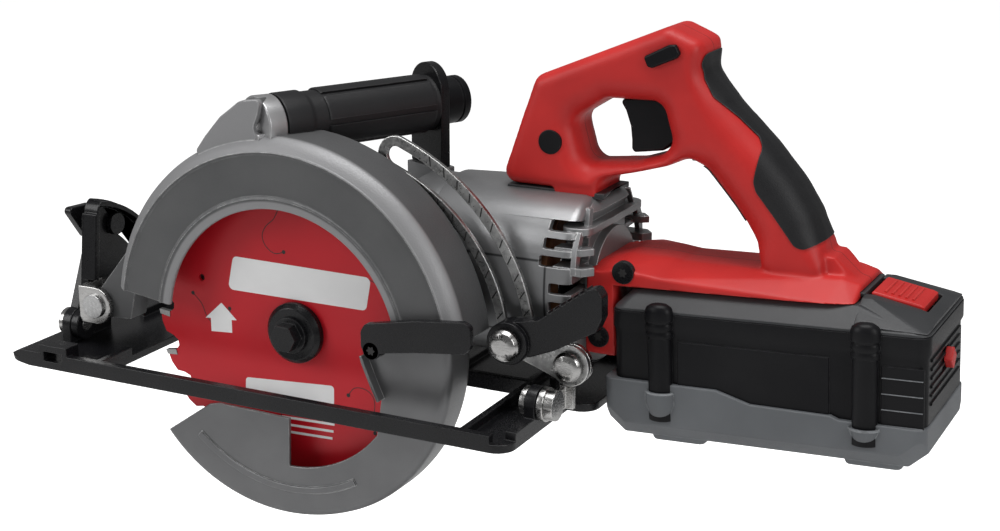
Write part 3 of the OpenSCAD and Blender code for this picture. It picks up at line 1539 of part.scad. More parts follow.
// Front bevel pin and rear bevel bolt, on one axis
module bevel_pins() {
    rear = rear_x + link_gap + link_t;
    color("lightgray") bevel_axis() {
        rod_x(ear_front_x - ear_t - slide_gap - root_in, quadrant_x + quadrant_t, bevel_pin_d / 2);
        rod_x(ear_front_x - ear_t - slide_gap - stud_head_t, ear_front_x - ear_t - slide_gap,
            ear_r - root_in);
        rod_x(rear_x - ear_t - slide_gap - stud_head_t, rear, bevel_pin_d / 2);
        rod_x(rear_x - ear_t - slide_gap - stud_head_t, rear_x - ear_t - slide_gap, ear_r - root_in);
        rod_x(rear, rear + pin_head_h, pin_head_d / 2);
    }
}

// Foot with rail, flanges, ribs, ears and rip fence tunnels
module foot() {
    left = -plane_to_left;
    sole = -arbor_h;
    rail_in = rail_w - plane_to_left;
    toe = [front_x, sole];
    tunnel_x = front_x + front_to_tunnel;
    notch = case_r + 2 * cover_rim;
    color("black") difference() {
        union() {
            translate([0, 0, sole]) linear_extrude(foot_t) polygon(rounded([[front_x, left], [rear_x, left],
                [rear_x, right_y], [front_x, right_y]], foot_corner_r));
            translate([0, 0, sole]) linear_extrude(foot_t)
                polygon(rounded([[rear_x - foot_corner_r * 2, tail_y], [rear_x + tail_l, tail_y],
                [rear_x + tail_l, right_y], [rear_x - foot_corner_r * 2, right_y]], foot_corner_r));
            block([front_x + foot_corner_r, left, sole], [rear_x - foot_corner_r, rail_in, sole + rail_h]);
            block([front_x + foot_corner_r, right_y - flange_w, sole], [rear_x, right_y, sole + flange_h]);
            block([rear_x - ear_t, left + foot_corner_r, sole], [rear_x, slot_right, sole + flange_h]);
            block([slot_rear, left + root_in, sole], [slot_rear + flange_w, slot_right, sole + flange_h]);
            block([-slot_front - flange_w, left + root_in, sole], [-slot_front, -ear_r, sole + flange_h]);
            block([case_front, slot_right, sole], [slot_rear + flange_w, slot_right + flange_w, sole + flange_h]);
            for (x = [front_x + 2 * foot_corner_r + flange_w, slot_rear + flange_w + foot_corner_r / 2]) {
                block([x, slot_right + foot_corner_r, sole], [x + flange_w, right_y - root_in,
                    sole + flange_h]);
            }
            for (x = [case_front + rib_pitch / 2 : rib_pitch : slot_rear]) {
                block([x, slot_right, sole], [x + flange_w, right_y - root_in, sole + rail_h - root_in]);
            }
            for (y = [left, right_y - tunnel_block_w]) {
                block([tunnel_x - tunnel_block_l / 2, y, sole], [tunnel_x + tunnel_block_l / 2,
                    y + tunnel_block_w,
                    sole + tunnel_block_h]);
            }
            bevel_axis() {
                rod_x(ear_front_x - ear_t, ear_front_x, ear_r);
                block([ear_front_x - ear_t, -ear_r, root_in - bevel_h], [ear_front_x, ear_r, 0]);
                plate_yz(ear_front_x - ear_t, ear_front_x)
                    polygon([[-ear_r / 2, 0], stud_at + polar(ear_r, stud_angle + 90),
                    stud_at + polar(ear_r, stud_angle - 90), [3 * ear_r, root_in - bevel_h],
                    [0, root_in - bevel_h]]);
                translate([0, stud_at[0], stud_at[1]]) rod_x(ear_front_x - ear_t, ear_front_x, ear_r);
                rod_x(rear_x - ear_t, rear_x, ear_r);
                block([rear_x - ear_t, -ear_r, root_in - bevel_h], [rear_x, ear_r, 0]);
            }
        }
        block([-slot_front, rail_in, sole - overrun], [slot_rear, slot_right, 0]);
        block([-notch, right_y - flange_w - overrun, plate_z], [notch, right_y + overrun, 0]);
        plate_xz(left - overrun, right_y + overrun) polygon([toe + [-overrun, -overrun], toe + [toe_l,
            -overrun],
            toe + [toe_l, 0], toe + [toe_l / 3, toe_h / 3], toe + [0, toe_h], toe + [-overrun, toe_h]]);
        block([tunnel_x - tunnel[0] / 2, left - overrun, plate_z], [tunnel_x + tunnel[0] / 2,
            right_y + overrun,
            plate_z + tunnel[1]]);
        bevel_axis() {
            rod_x(front_x, ear_front_x + overrun, bevel_pin_d / 2 + run_gap);
            rod_x(rear_x - ear_t - overrun, rear_x + overrun, bevel_pin_d / 2 + run_gap);
            translate([0, stud_at[0], stud_at[1]]) rod_x(front_x, ear_front_x + overrun,
                stud_d / 2 + run_gap);
        }
    }
}

// Clamp stud of the bevel, through the foot's post and the quadrant slot
module bevel_stud() {
    back = quadrant_x + quadrant_t + slide_gap;
    color("lightgray") bevel_axis() translate([0, stud_at[0], stud_at[1]]) {
        rod_x(ear_front_x - ear_t - bevel_hub_l + root_in, back, stud_d / 2);
        rod_x(back, back + stud_head_t, stud_head_d / 2);
    }
}

// Slotted bracket that holds the depth of cut
module depth_bracket() {
    half = bracket_slot_w / 2 + bracket_rail_w;
    far = bracket_y + bracket_t;
    color("lightgray") difference() {
        union() {
            plate_xz(bracket_y, far) polygon(path_band(half));
            for (p = [stud_path[0], stud_path[path_steps]]) {
                translate([p[0], 0, p[1]]) rod_y(bracket_y, far, half);
            }
            translate([bracket_pin[0], 0, bracket_pin[1]]) rod_y(bracket_y, far, bracket_eye_r);
            plate_xz(bracket_y, far) tab_outline(bracket_eye_r - root_in);
        }
        plate_xz(0, far + overrun) polygon(path_band(bracket_slot_w / 2));
        for (p = [stud_path[0], stud_path[path_steps]]) {
            translate([p[0], 0, p[1]]) rod_y(0, far + overrun, bracket_slot_w / 2);
        }
        translate([bracket_pin[0], 0, bracket_pin[1]]) rod_y(0, far + overrun, bracket_pin_d / 2 + run_gap);
    }
}

// Strip between the slot's lower end and the bracket eye
module tab_outline(half) {
    a = stud_path[0];
    d = unit(bracket_pin - a);
    n = half * [-d[1], d[0]];
    polygon([a + n, bracket_pin + n, bracket_pin - n, a - n]);
}

module bracket_pin() {
    end = bracket_y + bracket_t + slide_gap + link_t;
    color("lightgray") translate([bracket_pin[0], 0, bracket_pin[1]]) {
        dome_y(bracket_y - slide_gap, pin_head_h, pin_head_d / 2);
        rod_y(bracket_y - slide_gap - root_in, end + root_in, bracket_pin_d / 2);
        rod_y(end, end + pivot_head_t, pin_head_d / 2 - root_in);
    }
}

// Lever that clamps the depth bracket
module depth_lever() {
    far = bracket_y - slide_gap;
    color("black") translate([depth_stud_x, 0, depth_stud_z]) difference() {
        union() {
            rod_y(far - depth_hub_w, far, depth_hub_r);
            plate_xz(far - depth_hub_w + root_in, far - root_in)
                polygon(rounded(scaled(arm_shares, depth_arm), depth_stud_d / 2));
        }
        rod_y(far - depth_hub_w - overrun, far + overrun, depth_stud_d / 2 + run_gap);
    }
}

// Wing lever that clamps the bevel
module bevel_lever() {
    near = ear_front_x - ear_t - slide_gap;
    color("black") bevel_axis() translate([0, stud_at[0], stud_at[1]]) difference() {
        union() {
            rod_x(near - bevel_hub_l, near, bevel_hub_r);
            plate_yz(near - bevel_hub_l, near - bevel_hub_l + bevel_lever_t)
                polygon(rounded(scaled(paddle_shares, paddle), bevel_lever_t / 2));
        }
        rod_x(near - bevel_hub_l + root_in, near + overrun, stud_d / 2 + run_gap);
    }
}

module trigger() {
    half = trigger_w / 2;
    color("black") translate([0, motor_y, 0]) {
        plate_xz(-half, half) handle_outline(trigger_shares);
        handle_at(trigger_pin_share)
            rod_y(slide_gap - half - trigger_pin_in, half + trigger_pin_in - slide_gap, trigger_pin_d / 2);
    }
}

// Room or body of the lock-off button: extra depth behind it and a gap round it
module lock_off_block(extra, gap) {
    y = motor_y - handle_w / 2;
    handle_at(lock_off_share) block([-lock_off[0] / 2 - gap, y - lock_off_out, -lock_off[1] / 2 - gap],
        [lock_off[0] / 2 + gap, y + lock_off_in + extra, lock_off[1] / 2 + gap]);
}

module lock_off_button() {
    color("black") lock_off_block(0, 0);
}

// Push pin that would enter the arbor to hold it for a blade change
module spindle_lock() {
    x = -lock_boss_x - lock_travel - slide_gap;
    color("black") translate([0, lock_y, 0]) {
        rod_x(x - lock_head_t, x, lock_head_d / 2);
        rod_x(x - root_in, -shaft_d / 2 - lock_travel - root_in, lock_pin_d / 2);
    }
}

// Lower shell of the battery with its feet
module battery_boot() {
    half = battery_w / 2 + boot_step;
    low = -battery_case_h - boot_h;
    z = -battery_case_h;
    color("dimgray") at_battery() difference() {
        union() {
            plate_yz(-boot_step, battery_l + boot_step) polygon([[-half, z], [half, z], [half,
                low + boot_chamfer],
                [half - boot_chamfer, low], [boot_chamfer - half, low], [-half, low + boot_chamfer]]);
            for (x = [boot_foot_l / 2, battery_l - boot_foot_l * 1.5]) {
                block([x, -half + boot_chamfer, low - boot_foot_h],
                    [x + boot_foot_l, half - boot_chamfer, low + root_in]);
            }
        }
        block([battery_wall, boot_chamfer - half, low + battery_wall],
            [battery_l - battery_wall, half - boot_chamfer, z + overrun]);
        block([battery_wall, battery_wall - half, low + boot_chamfer + battery_wall],
            [battery_l - battery_wall, half - battery_wall, z + overrun]);
    }
}

// Middle shell of the battery with its screw posts
module battery_case() {
    half = battery_w / 2;
    color("black") at_battery() difference() {
        union() {
            block([0, -half, -battery_case_h], [battery_l, half, 0]);
            for (x = post_x) {
                for (s = [-1, 1]) {
                    translate([x, s * half, -battery_case_h])
                        cylinder(h = battery_case_h - post_screw_h, r = post_r);
                }
            }
        }
        block([battery_wall, battery_wall - half, -battery_case_h - overrun],
            [battery_l - battery_wall, half - battery_wall, overrun]);
        gauge_solid(gauge_travel, slide_gap);
    }
}

// Screws on top of the posts
module battery_screws() {
    color("gray") at_battery() {
        for (x = post_x) {
            for (s = [-1, 1]) {
                translate([x, s * battery_w / 2, -post_screw_h]) difference() {
                    cylinder(h = post_screw_h - run_gap, d = post_screw_d);
                    block([-post_r, s < 0 ? -run_gap : -post_r, -overrun],
                        [post_r, s < 0 ? post_r : run_gap, post_r]);
                }
            }
        }
    }
}

// Top cover with the deck, the rail and the latch pocket
module battery_top() {
    half = battery_w / 2;
    deck_x = battery_l - deck_l;
    neck_z = cover_h + rail_neck_h;
    color("darkslategray") at_battery() difference() {
        union() {
            plate_yz(0, battery_l) polygon([[-half, 0], [half, 0], [half - cover_slope, cover_h],
                [cover_slope - half, cover_h]]);
            plate_yz(deck_x + slide_gap, battery_l) polygon([[-half, 0], [half, 0], [half - deck_slope,
                deck_h],
                [deck_slope - half, deck_h]]);
            block([rail_x, -rail_neck_w / 2, 0], [deck_x + root_in, rail_neck_w / 2, neck_z + root_in]);
            block([rail_x, -rail_head_w / 2, neck_z], [deck_x + root_in, rail_head_w / 2,
                neck_z + rail_head_h]);
        }
        block([battery_wall, cover_slope + battery_wall - half, -overrun],
            [battery_l - battery_wall, half - cover_slope - battery_wall, cover_h - battery_wall]);
        latch_block(latch_travel, slide_gap);
        for (i = [-1:1]) {
            translate([rail_x - overrun, i * terminal_pitch - blade_size[1] / 2 - slide_gap,
                neck_z - slide_gap])
                cube(blade_size + [overrun + slide_gap, 2 * slide_gap, 2 * slide_gap + root_in]);
        }
    }
}

// Room or body of the latch: extra depth below it and a gap round it
module latch_block(extra, gap) {
    x = battery_l - latch_back - latch_size[0];
    top = deck_h + latch_out;
    block([x - gap, -latch_size[1] / 2 - gap, top - latch_size[2] - extra],
        [x + latch_size[0] + gap, latch_size[1] / 2 + gap, top]);
}

module battery_latch() {
    color("firebrick") at_battery() latch_block(0, 0);
}

// Room or body of the gauge button: extra depth behind it and a gap round it
module gauge_solid(extra, gap) {
    side = gauge_side + 2 * gap;
    translate([battery_l - gauge_in - extra, 0, -gauge_below]) rotate([half_square, 0, 0])
        translate([0, -side / 2, -side / 2]) cube([gauge_in + extra + proud + gauge_travel, side, side]);
}

module gauge_button() {
    color("firebrick") at_battery() gauge_solid(0, 0);
}

// Two rows of cells between two holder plates
module battery_cells() {
    first = (battery_l - (cell_n - 1) * cell_pitch) / 2;
    half = cell_l / 2;
    top = -cell_d / 2 - battery_wall;
    color("steelblue") at_battery() {
        for (i = [0:cell_n - 1]) {
            for (j = [0:1]) {
                translate([first + i * cell_pitch, 0, top - j * cell_pitch]) rod_y(-half, half, cell_d / 2);
            }
        }
        for (s = [-1, 1]) {
            block([battery_wall, s * half - cell_holder_t / 2, top - 1.5 * cell_pitch],
                [battery_l - battery_wall, s * half + cell_holder_t / 2, top + cell_pitch / 3]);
        }
    }
}

from_arbor() upper_guard();
from_arbor() gear_housing();
from_arbor() gear_cover();
from_arbor() case_screws();
from_arbor() motor_housing();
from_arbor() stator();
from_arbor() arbor_bearings();
from_arbor() rotor_bearings();
from_arbor() guard_retainer();
from_arbor() guard_spring();
from_arbor() handle_left();
from_arbor() handle_right();
from_arbor() rear_grip_pad();
from_arbor() front_grip_pad();
from_arbor() handle_plugs();
from_arbor() base_screws();
from_arbor() switch_module();
from_arbor() controller();
from_arbor() terminal_block();
from_arbor() top_grip();
from_arbor() top_rod();
from_arbor() top_bracket();
from_arbor() top_cap();
from_arbor() depth_stud();
from_arbor() motor_trim();
from_arbor() blade();
from_arbor() carbide_tips();
from_arbor() inner_flange();
from_arbor() outer_flange();
from_arbor() blade_bolt();
from_arbor() arbor_shaft();
from_arbor() worm_wheel();
from_arbor() worm_shaft();
from_arbor() rotor();
from_arbor() fan();
from_arbor() lower_guard();
from_arbor() guard_lever();
from_arbor() lever_screw();
from_arbor() bevel_quadrant();
from_arbor() pivot_clevis();
from_arbor() pivot_pin();
from_arbor() rear_link();
from_arbor() bevel_pins();
from_arbor() foot();
from_arbor() bevel_stud();
from_arbor() depth_bracket();
from_arbor() bracket_pin();
from_arbor() depth_lever();
from_arbor() bevel_lever();
from_arbor() trigger();
from_arbor() lock_off_button();
from_arbor() spindle_lock();
from_arbor() battery_boot();
from_arbor() battery_case();
from_arbor() battery_top();
from_arbor() battery_cells();
from_arbor() battery_screws();
from_arbor() battery_latch();
from_arbor() gauge_button();
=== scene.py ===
# %% [markdown]
# # A cordless worm drive saw, finished piece by piece
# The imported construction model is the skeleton: every solid already has its size and its place. This
# lesson gives each one its looks. A piece either keeps its shape and gets soft edges and a finish made of
# nodes, or it is remade as a finer mesh in the same place, within a few millimetres of its solid.

# %% Load the frame
import cmath
import json
import math
from collections import Counter

import bmesh
import bpy
import numpy as np
from mathutils import Matrix, Vector
from mathutils.geometry import delaunay_2d_cdt

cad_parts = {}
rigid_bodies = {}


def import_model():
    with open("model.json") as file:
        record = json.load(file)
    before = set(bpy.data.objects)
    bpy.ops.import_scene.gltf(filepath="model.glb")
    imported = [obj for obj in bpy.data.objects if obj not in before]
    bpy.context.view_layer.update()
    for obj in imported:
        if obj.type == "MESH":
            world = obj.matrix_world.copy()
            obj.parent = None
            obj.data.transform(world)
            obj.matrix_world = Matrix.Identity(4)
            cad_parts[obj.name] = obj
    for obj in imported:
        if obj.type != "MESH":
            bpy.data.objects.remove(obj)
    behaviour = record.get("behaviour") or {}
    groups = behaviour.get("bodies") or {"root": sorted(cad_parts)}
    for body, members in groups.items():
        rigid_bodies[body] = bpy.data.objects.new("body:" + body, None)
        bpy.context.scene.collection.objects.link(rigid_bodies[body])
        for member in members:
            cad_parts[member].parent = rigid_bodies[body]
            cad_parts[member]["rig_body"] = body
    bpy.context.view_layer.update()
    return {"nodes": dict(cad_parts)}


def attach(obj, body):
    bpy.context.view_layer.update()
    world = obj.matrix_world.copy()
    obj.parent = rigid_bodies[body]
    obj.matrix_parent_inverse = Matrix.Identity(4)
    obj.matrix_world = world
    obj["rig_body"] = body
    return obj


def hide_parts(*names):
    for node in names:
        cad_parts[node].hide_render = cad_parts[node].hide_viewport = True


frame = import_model()
ARBOR = Vector((0.013, -0.035, 0.0317))
MID_Y = 71  # middle plane of the handle, the motor and the battery, in millimetres from the arbor
MOTOR_Z = 33  # height of the motor's axis
PIVOT, STUD, PIN = (-135, -3), (124, 10), (154, -1)  # depth pivot, clamp stud and bracket pin, in X and Z


def at(x, y, z):
    """A place in millimetres from the arbor, as metres in the shared frame."""
    return ARBOR + Vector((x, y, z)) / 1000


def local(x, y, z):
    """A step in millimetres, as metres."""
    return Vector((x, y, z)) / 1000


def body_of(node):
    return frame["nodes"][node]["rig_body"]


# %% [markdown]
# ## Finishes
# A real surface is never one flat colour. Cast metal has a fine pebble, moulded plastic a spark-eroded
# grain, plated steel long polishing marks. Each finish below is a small node tree on Object coordinates:
# a slow noise moves the colour a little, a quick one moves the roughness and lifts a bump, and where a
# corner is rubbed, the Bevel node finds the edge and a lighter tone shows there. Numbers that are the
# same everywhere sit on the shader's own sockets.

# %% One recipe for all finishes
FINISHES, SLOTS = {}, {}


def wire(tree, kind, inputs=None, **settings):
    """A new node. Its inputs, by name or number, take a link from a socket or else a plain value."""
    node = tree.nodes.new(kind)
    for key, value in settings.items():
        setattr(node, key, value)
    for key, value in (inputs or {}).items():
        if isinstance(value, bpy.types.NodeSocket):
            tree.links.new(value, node.inputs[key])
        else:
            node.inputs[key].default_value = value
    return node


def calc(tree, operation, a, b=None, kind="Math", key=1, result=0):
    """The result of a Math or VectorMath node; b goes into the input that key names."""
    inputs = {0: a} if b is None else {0: a, key: b}
    return wire(tree, "ShaderNode" + kind, inputs, operation=operation).outputs[result]


def map_range(tree, value, a, b, c=0, d=1):
    limits = {"Value": value, "From Min": a, "From Max": b, "To Min": c, "To Max": d}
    return wire(tree, "ShaderNodeMapRange", limits).outputs["Result"]


def mix_colour(tree, share, a, b):
    a, b = [(*c, 1) if isinstance(c, tuple) else c for c in (a, b)]
    return wire(tree, "ShaderNodeMix", {"Factor": share, 6: a, 7: b}, data_type="RGBA").outputs[2]


def axes(tree, where):
    return wire(tree, "ShaderNodeSeparateXYZ", {0: where}).outputs


def noise(tree, vector, scale, detail=3.0, stretch=None):
    if stretch:
        vector = wire(tree, "ShaderNodeMapping", {"Vector": vector, "Scale": stretch}).outputs["Vector"]
    return wire(tree, "ShaderNodeTexNoise", {"Vector": vector, "Scale": scale, "Detail": detail}).outputs["Fac"]


def edge_mask(tree, radius):
    """1 on edges and corners within a radius in millimetres, 0 on the flat."""
    bevel = wire(tree, "ShaderNodeBevel", {"Radius": radius / 1000}, samples=4).outputs["Normal"]
    plain = wire(tree, "ShaderNodeNewGeometry").outputs["Normal"]
    return map_range(tree, calc(tree, "DOT_PRODUCT", bevel, plain, "VectorMath", result="Value"), 0.995, 0.86)


def finish(name, slot, light, dark, metal=0.0, rough=0.5, spread=0.08, cloud=25, grain=1500, bump=0.1,
           stretch=None, wear=None, wear_radius=0.8, coat=0.0, shine=0.5, zone=None):
    """zone is a function of the tree that returns a mask and the colour that it brings in."""
    material = bpy.data.materials.new(name)
    material.use_nodes = True
    tree = material.node_tree
    where = wire(tree, "ShaderNodeTexCoord").outputs["Object"]
    colour = mix_colour(tree, map_range(tree, noise(tree, where, cloud), 0.35, 0.65), dark, light)
    if zone:
        mask, tone = zone(tree, where)
        colour = mix_colour(tree, mask, colour, tone)
    fine = noise(tree, where, grain, 2.0, stretch)
    if wear:
        patches = map_range(tree, noise(tree, where, 180), 0.4, 0.6, 0.35, 1)
        colour = mix_colour(tree, calc(tree, "MULTIPLY", edge_mask(tree, wear_radius), patches), colour, wear)
    gloss = map_range(tree, fine, 0.3, 0.7, rough - spread, rough + spread)
    lift = wire(tree, "ShaderNodeBump", {"Strength": bump, "Distance": 0.0003, "Height": fine})
    shader = tree.nodes["Principled BSDF"].inputs
    for key, socket in (("Base Color", colour), ("Roughness", gloss), ("Normal", lift.outputs["Normal"])):
        tree.links.new(socket, shader[key])
    for key, value in (("Metallic", metal), ("Specular IOR Level", shine), ("Coat Weight", coat),
                       ("Coat Roughness", 0.18)):
        shader[key].default_value = value
    FINISHES[name], SLOTS[name] = material, slot


def grey(tone):
    return tone, tone, tone


# %% Metals
def machined_rings_and_sheen(tree, where):
    """The machined chamfer and inner ring of the upper guard, lighter than its cast face: partly bare machined
    metal, partly a painted highlight where the bevel reflects light.
    """
    spot = calc(tree, "SUBTRACT", where, ARBOR, "VectorMath")
    flat = calc(tree, "MULTIPLY", spot, (1, 0, 1), "VectorMath")
    far = calc(tree, "LENGTH", flat, kind="VectorMath", result="Value")
    outer = map_range(tree, far, 0.1022, 0.1034)
    inner = map_range(tree, far, 0.0768, 0.0758)
    front = map_range(tree, axes(tree, where)["Y"], -0.0455, -0.0472)
    return calc(tree, "MULTIPLY", calc(tree, "MAXIMUM", outer, inner), front), (0.23, 0.23, 0.235)


def off_middle(tree, value, middle):
    return calc(tree, "ABSOLUTE", calc(tree, "SUBTRACT", value, middle))


def side_panel(tree, where):
    """A pressed line round a rectangle on the left flank of the motor."""
    spot = axes(tree, where)
    far = calc(tree, "MAXIMUM", *[
        map_range(tree, off_middle(tree, spot[axis], middle), half - 0.01, half + 0.01)
        for axis, middle, half in (("X", 0.127, 0.023), ("Z", 0.0617, 0.021))])
    line = calc(tree, "MULTIPLY", map_range(tree, far, 0.44, 0.47), map_range(tree, far, 0.5, 0.53, 1, 0))
    return calc(tree, "MULTIPLY", line, map_range(tree, spot["Y"], 0.004, 0.006, 1, 0)), (0.05, 0.05, 0.052)


SILVER = dict(light=(0.27, 0.272, 0.277), dark=(0.23, 0.232, 0.237), metal=0.7, rough=0.38, grain=1500, bump=0.15,
              wear=grey(0.72), wear_radius=0.7)
finish("case silver", "case_silver", **SILVER)
finish("motor silver", "case_silver", zone=side_panel, **SILVER)
# The cast guard's zone paints a lighter tone on the chamfer and inner ring, partly machined metal and partly
# painted highlight.
finish("cast guard", "guard_cast", (0.092, 0.093, 0.095), (0.076, 0.077, 0.079), metal=0.3, rough=0.48, grain=1400,
       bump=0.3, wear=grey(0.6), wear_radius=0.9, zone=machined_rings_and_sheen)
finish("guard sheet", "guard_sheet", (0.15, 0.151, 0.154), (0.125, 0.126, 0.129), metal=0.6, rough=0.36,
       grain=1800, bump=0.08, wear=grey(0.55), wear_radius=0.7)
finish("black enamel", "black_metal", (0.008, 0.008, 0.009), (0.005, 0.005, 0.006), rough=0.3, spread=0.06,
       grain=1300, bump=0.14, wear=grey(0.08), wear_radius=0.5, coat=0.1, shine=0.22)
finish("bright nickel", "nickel", (0.5, 0.495, 0.485), (0.38, 0.375, 0.37), metal=1.0, rough=0.24, spread=0.08,
       grain=260, bump=0.03, stretch=(1, 1, 7), wear=(0.9, 0.9, 0.88), wear_radius=0.5)
finish("plain steel", "steel", grey(0.52), grey(0.42), metal=1.0, rough=0.3, grain=700, bump=0.06,
       stretch=(1, 4, 1))
finish("blade coat", "blade_red", (0.52, 0.009, 0.018), (0.45, 0.007, 0.014), metal=0.1, rough=0.36, shine=0.35,
       spread=0.05, cloud=14, grain=900, bump=0.04)
finish("ground carbide", "carbide", (0.34, 0.34, 0.335), grey(0.25), metal=1.0, rough=0.28, grain=2500, bump=0.05)
finish("wheel bronze", "bronze", (0.55, 0.33, 0.12), (0.42, 0.25, 0.09), metal=1.0, rough=0.34, grain=900)
finish("wound copper", "copper", (0.38, 0.17, 0.08), (0.2, 0.1, 0.06), metal=0.8, rough=0.45, grain=600, bump=0.3,
       stretch=(6, 1, 1))
finish("machined cast", "case_silver", (0.42, 0.42, 0.425), (0.34, 0.34, 0.345), metal=0.75, rough=0.38, grain=900,
       bump=0.06, stretch=(6, 1, 1), wear=grey(0.8), wear_radius=0.6)
finish("bracket plate", "nickel", (0.44, 0.44, 0.435), grey(0.28), metal=1.0, rough=0.36, spread=0.12, cloud=220,
       grain=900, bump=0.25, wear=(0.92, 0.92, 0.9), wear_radius=1.3)
finish("dark line", "black_metal", (0.012, 0.011, 0.011), grey(0.008), rough=0.6, grain=900)
print("metal finishes:", len(FINISHES))


# %% Plastics and rubber
def middle_seam(tree, where):
    """The parting line of two shells, a dark hair on the middle plane of the handle."""
    off = off_middle(tree, axes(tree, where)["Y"], 0.036)
    return map_range(tree, off, 0.00018, 0.0003, 1, 0), (0.09, 0.008, 0.008)


RED = dict(light=(0.5, 0.019, 0.017), dark=(0.42, 0.014, 0.013), rough=0.46, shine=0.35, grain=2600, bump=0.22,
           wear=(0.58, 0.05, 0.04))
finish("red shell", "red_shell", wear_radius=0.9, **RED)
finish("red shells", "red_shell", wear_radius=1.2, zone=middle_seam, **RED)
finish("black moulding", "black_plastic", (0.008, 0.008, 0.009), (0.005, 0.005, 0.006), rough=0.38, grain=2400,
       bump=0.12, shine=0.14, wear=(0.035, 0.035, 0.037), wear_radius=0.6)
finish("boot grey", "grey_plastic", (0.115, 0.122, 0.13), (0.095, 0.101, 0.108), rough=0.48, shine=0.35,
       grain=2400, bump=0.2, wear=(0.26, 0.27, 0.28), wear_radius=0.9)
finish("charcoal cover", "charcoal", (0.03, 0.031, 0.033), (0.023, 0.024, 0.026), rough=0.44, shine=0.35,
       grain=2400, bump=0.18, wear=(0.12, 0.12, 0.125), wear_radius=0.7)
finish("soft overmould", "soft_black", (0.011, 0.011, 0.012), (0.008, 0.008, 0.009), rough=0.5, shine=0.3,
       grain=2000, bump=0.35, wear=(0.05, 0.05, 0.052), wear_radius=0.7)
finish("white ink", None, grey(0.8), grey(0.74), rough=0.5, grain=1500, bump=0.04)
finish("cell wrap", "cells", (0.05, 0.14, 0.3), (0.04, 0.1, 0.24), rough=0.35, grain=500)
print("finishes in all:", len(FINISHES))

# %% [markdown]
# ## Soft edges for the solids whose shape is right
# Nothing that is cast, moulded or machined has a razor edge: a small round catches a line of light, and
# that line is most of what makes a part look real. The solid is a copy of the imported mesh, welded first,
# with its flat triangles joined, so that the Bevel modifier only meets true edges. Weighted normals keep
# the flats flat.

# %% Helpers that weld, round and seat a piece
def shown(name, data):
    """A new object in the scene."""
    thing = bpy.data.objects.new(name, data)
    bpy.context.scene.collection.objects.link(thing)
    return thing


def mesh_of(name, build):
    """A mesh with outward faces from a function that fills an empty form."""
    form = bmesh.new()
    build(form)
    bmesh.ops.recalc_face_normals(form, faces=form.faces)
    mesh = bpy.data.meshes.new(name)
    form.to_mesh(mesh)
    form.free()
    return mesh


def seat(name, mesh, coat, body, *nodes):
    """Makes a piece of a mesh in the shared frame and lets it ride on a body."""
    mesh.materials.clear()
    mesh.materials.append(FINISHES[coat])
    piece = shown(name, mesh)
    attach(piece, body)
    if nodes:
        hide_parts(*nodes)
    return piece


def rounded_piece(name, shape, coat, body, *nodes, width=0.0, segments=2, angle=30):
    """Seats a mesh, or what a function builds, and rounds its sharp edges by a width in millimetres."""
    mesh = mesh_of(name, shape) if callable(shape) else shape
    piece = seat(name, mesh, coat, body, *nodes)
    mesh.shade_smooth()
    if width:
        bevel = piece.modifiers.new("soft edge", "BEVEL")
        bevel.width = width / 1000
        bevel.segments = segments
        bevel.limit_method = "ANGLE"
        bevel.angle_limit = math.radians(angle)
        bevel.use_clamp_overlap = False
        bevel.miter_outer = "MITER_SHARP"
    else:
        mesh.set_sharp_from_angle(angle=math.radians(angle))
    piece.modifiers.new("flat faces stay flat", "WEIGHTED_NORMAL").keep_sharp = True
    print(name + ":", len(mesh.polygons), "faces")


def welded(node):
    """A copy of a solid's mesh with its doubles merged and its flat triangles joined."""
    mesh = frame["nodes"][node].data.copy()
    form = bmesh.new()
    form.from_mesh(mesh)
    bmesh.ops.remove_doubles(form, verts=form.verts, dist=2e-6)
    bmesh.ops.dissolve_limit(form, angle_limit=math.radians(0.6), verts=form.verts, edges=form.edges)
    form.to_mesh(mesh)
    form.free()
    return mesh


# %% Dress the solids: finish, width of the rounded edges, nodes
for coat, width, nodes in (
    ("case silver", 0.5, "gear_housing gear_cover"),
    ("plain steel", 0.3, "inner_flange pivot_pin"),
    ("plain steel", 0.2, "case_screws arbor_bearings rotor_bearings guard_retainer top_rod arbor_shaft rotor"),
    ("plain steel", 0.2, "battery_screws"), ("plain steel", 0, "guard_spring worm_shaft"),
    ("black enamel", 0.7, "bevel_lever"), ("black enamel", 0.6, "top_bracket"),
    ("black enamel", 0.5, "guard_lever foot"), ("black enamel", 0.4, "outer_flange"),
    ("black enamel", 0.3, "blade_bolt bevel_stud"), ("black enamel", 0.2, "lever_screw"),
    ("bright nickel", 0.6, "pivot_clevis"), ("bright nickel", 0.5, "rear_link"),
    ("bright nickel", 0.3, "depth_stud bevel_pins bracket_pin"), ("bracket plate", 0.5, "depth_bracket"),
    ("black moulding", 0.5, "handle_plugs spindle_lock"), ("black moulding", 0.3, "switch_module terminal_block"),
    ("black moulding", 0, "fan"), ("charcoal cover", 0.5, "motor_trim"), ("red shell", 0.5, "gauge_button"),
    ("blade coat", 0, "blade"), ("ground carbide", 0, "carbide_tips"), ("wheel bronze", 0, "worm_wheel"),
    ("wound copper", 0, "stator"), ("cell wrap", 0, "battery_cells"),
):
    for node in nodes.split():
        rounded_piece(node + "_finished", welded(node), coat, body_of(node), node, width=width)

# %% [markdown]
# ## Forms
# A few ways of making closed bodies serve for everything that follows: rings of points joined into a loft,
# the convex block of some corners, and booleans or a voxel remesh on working objects.

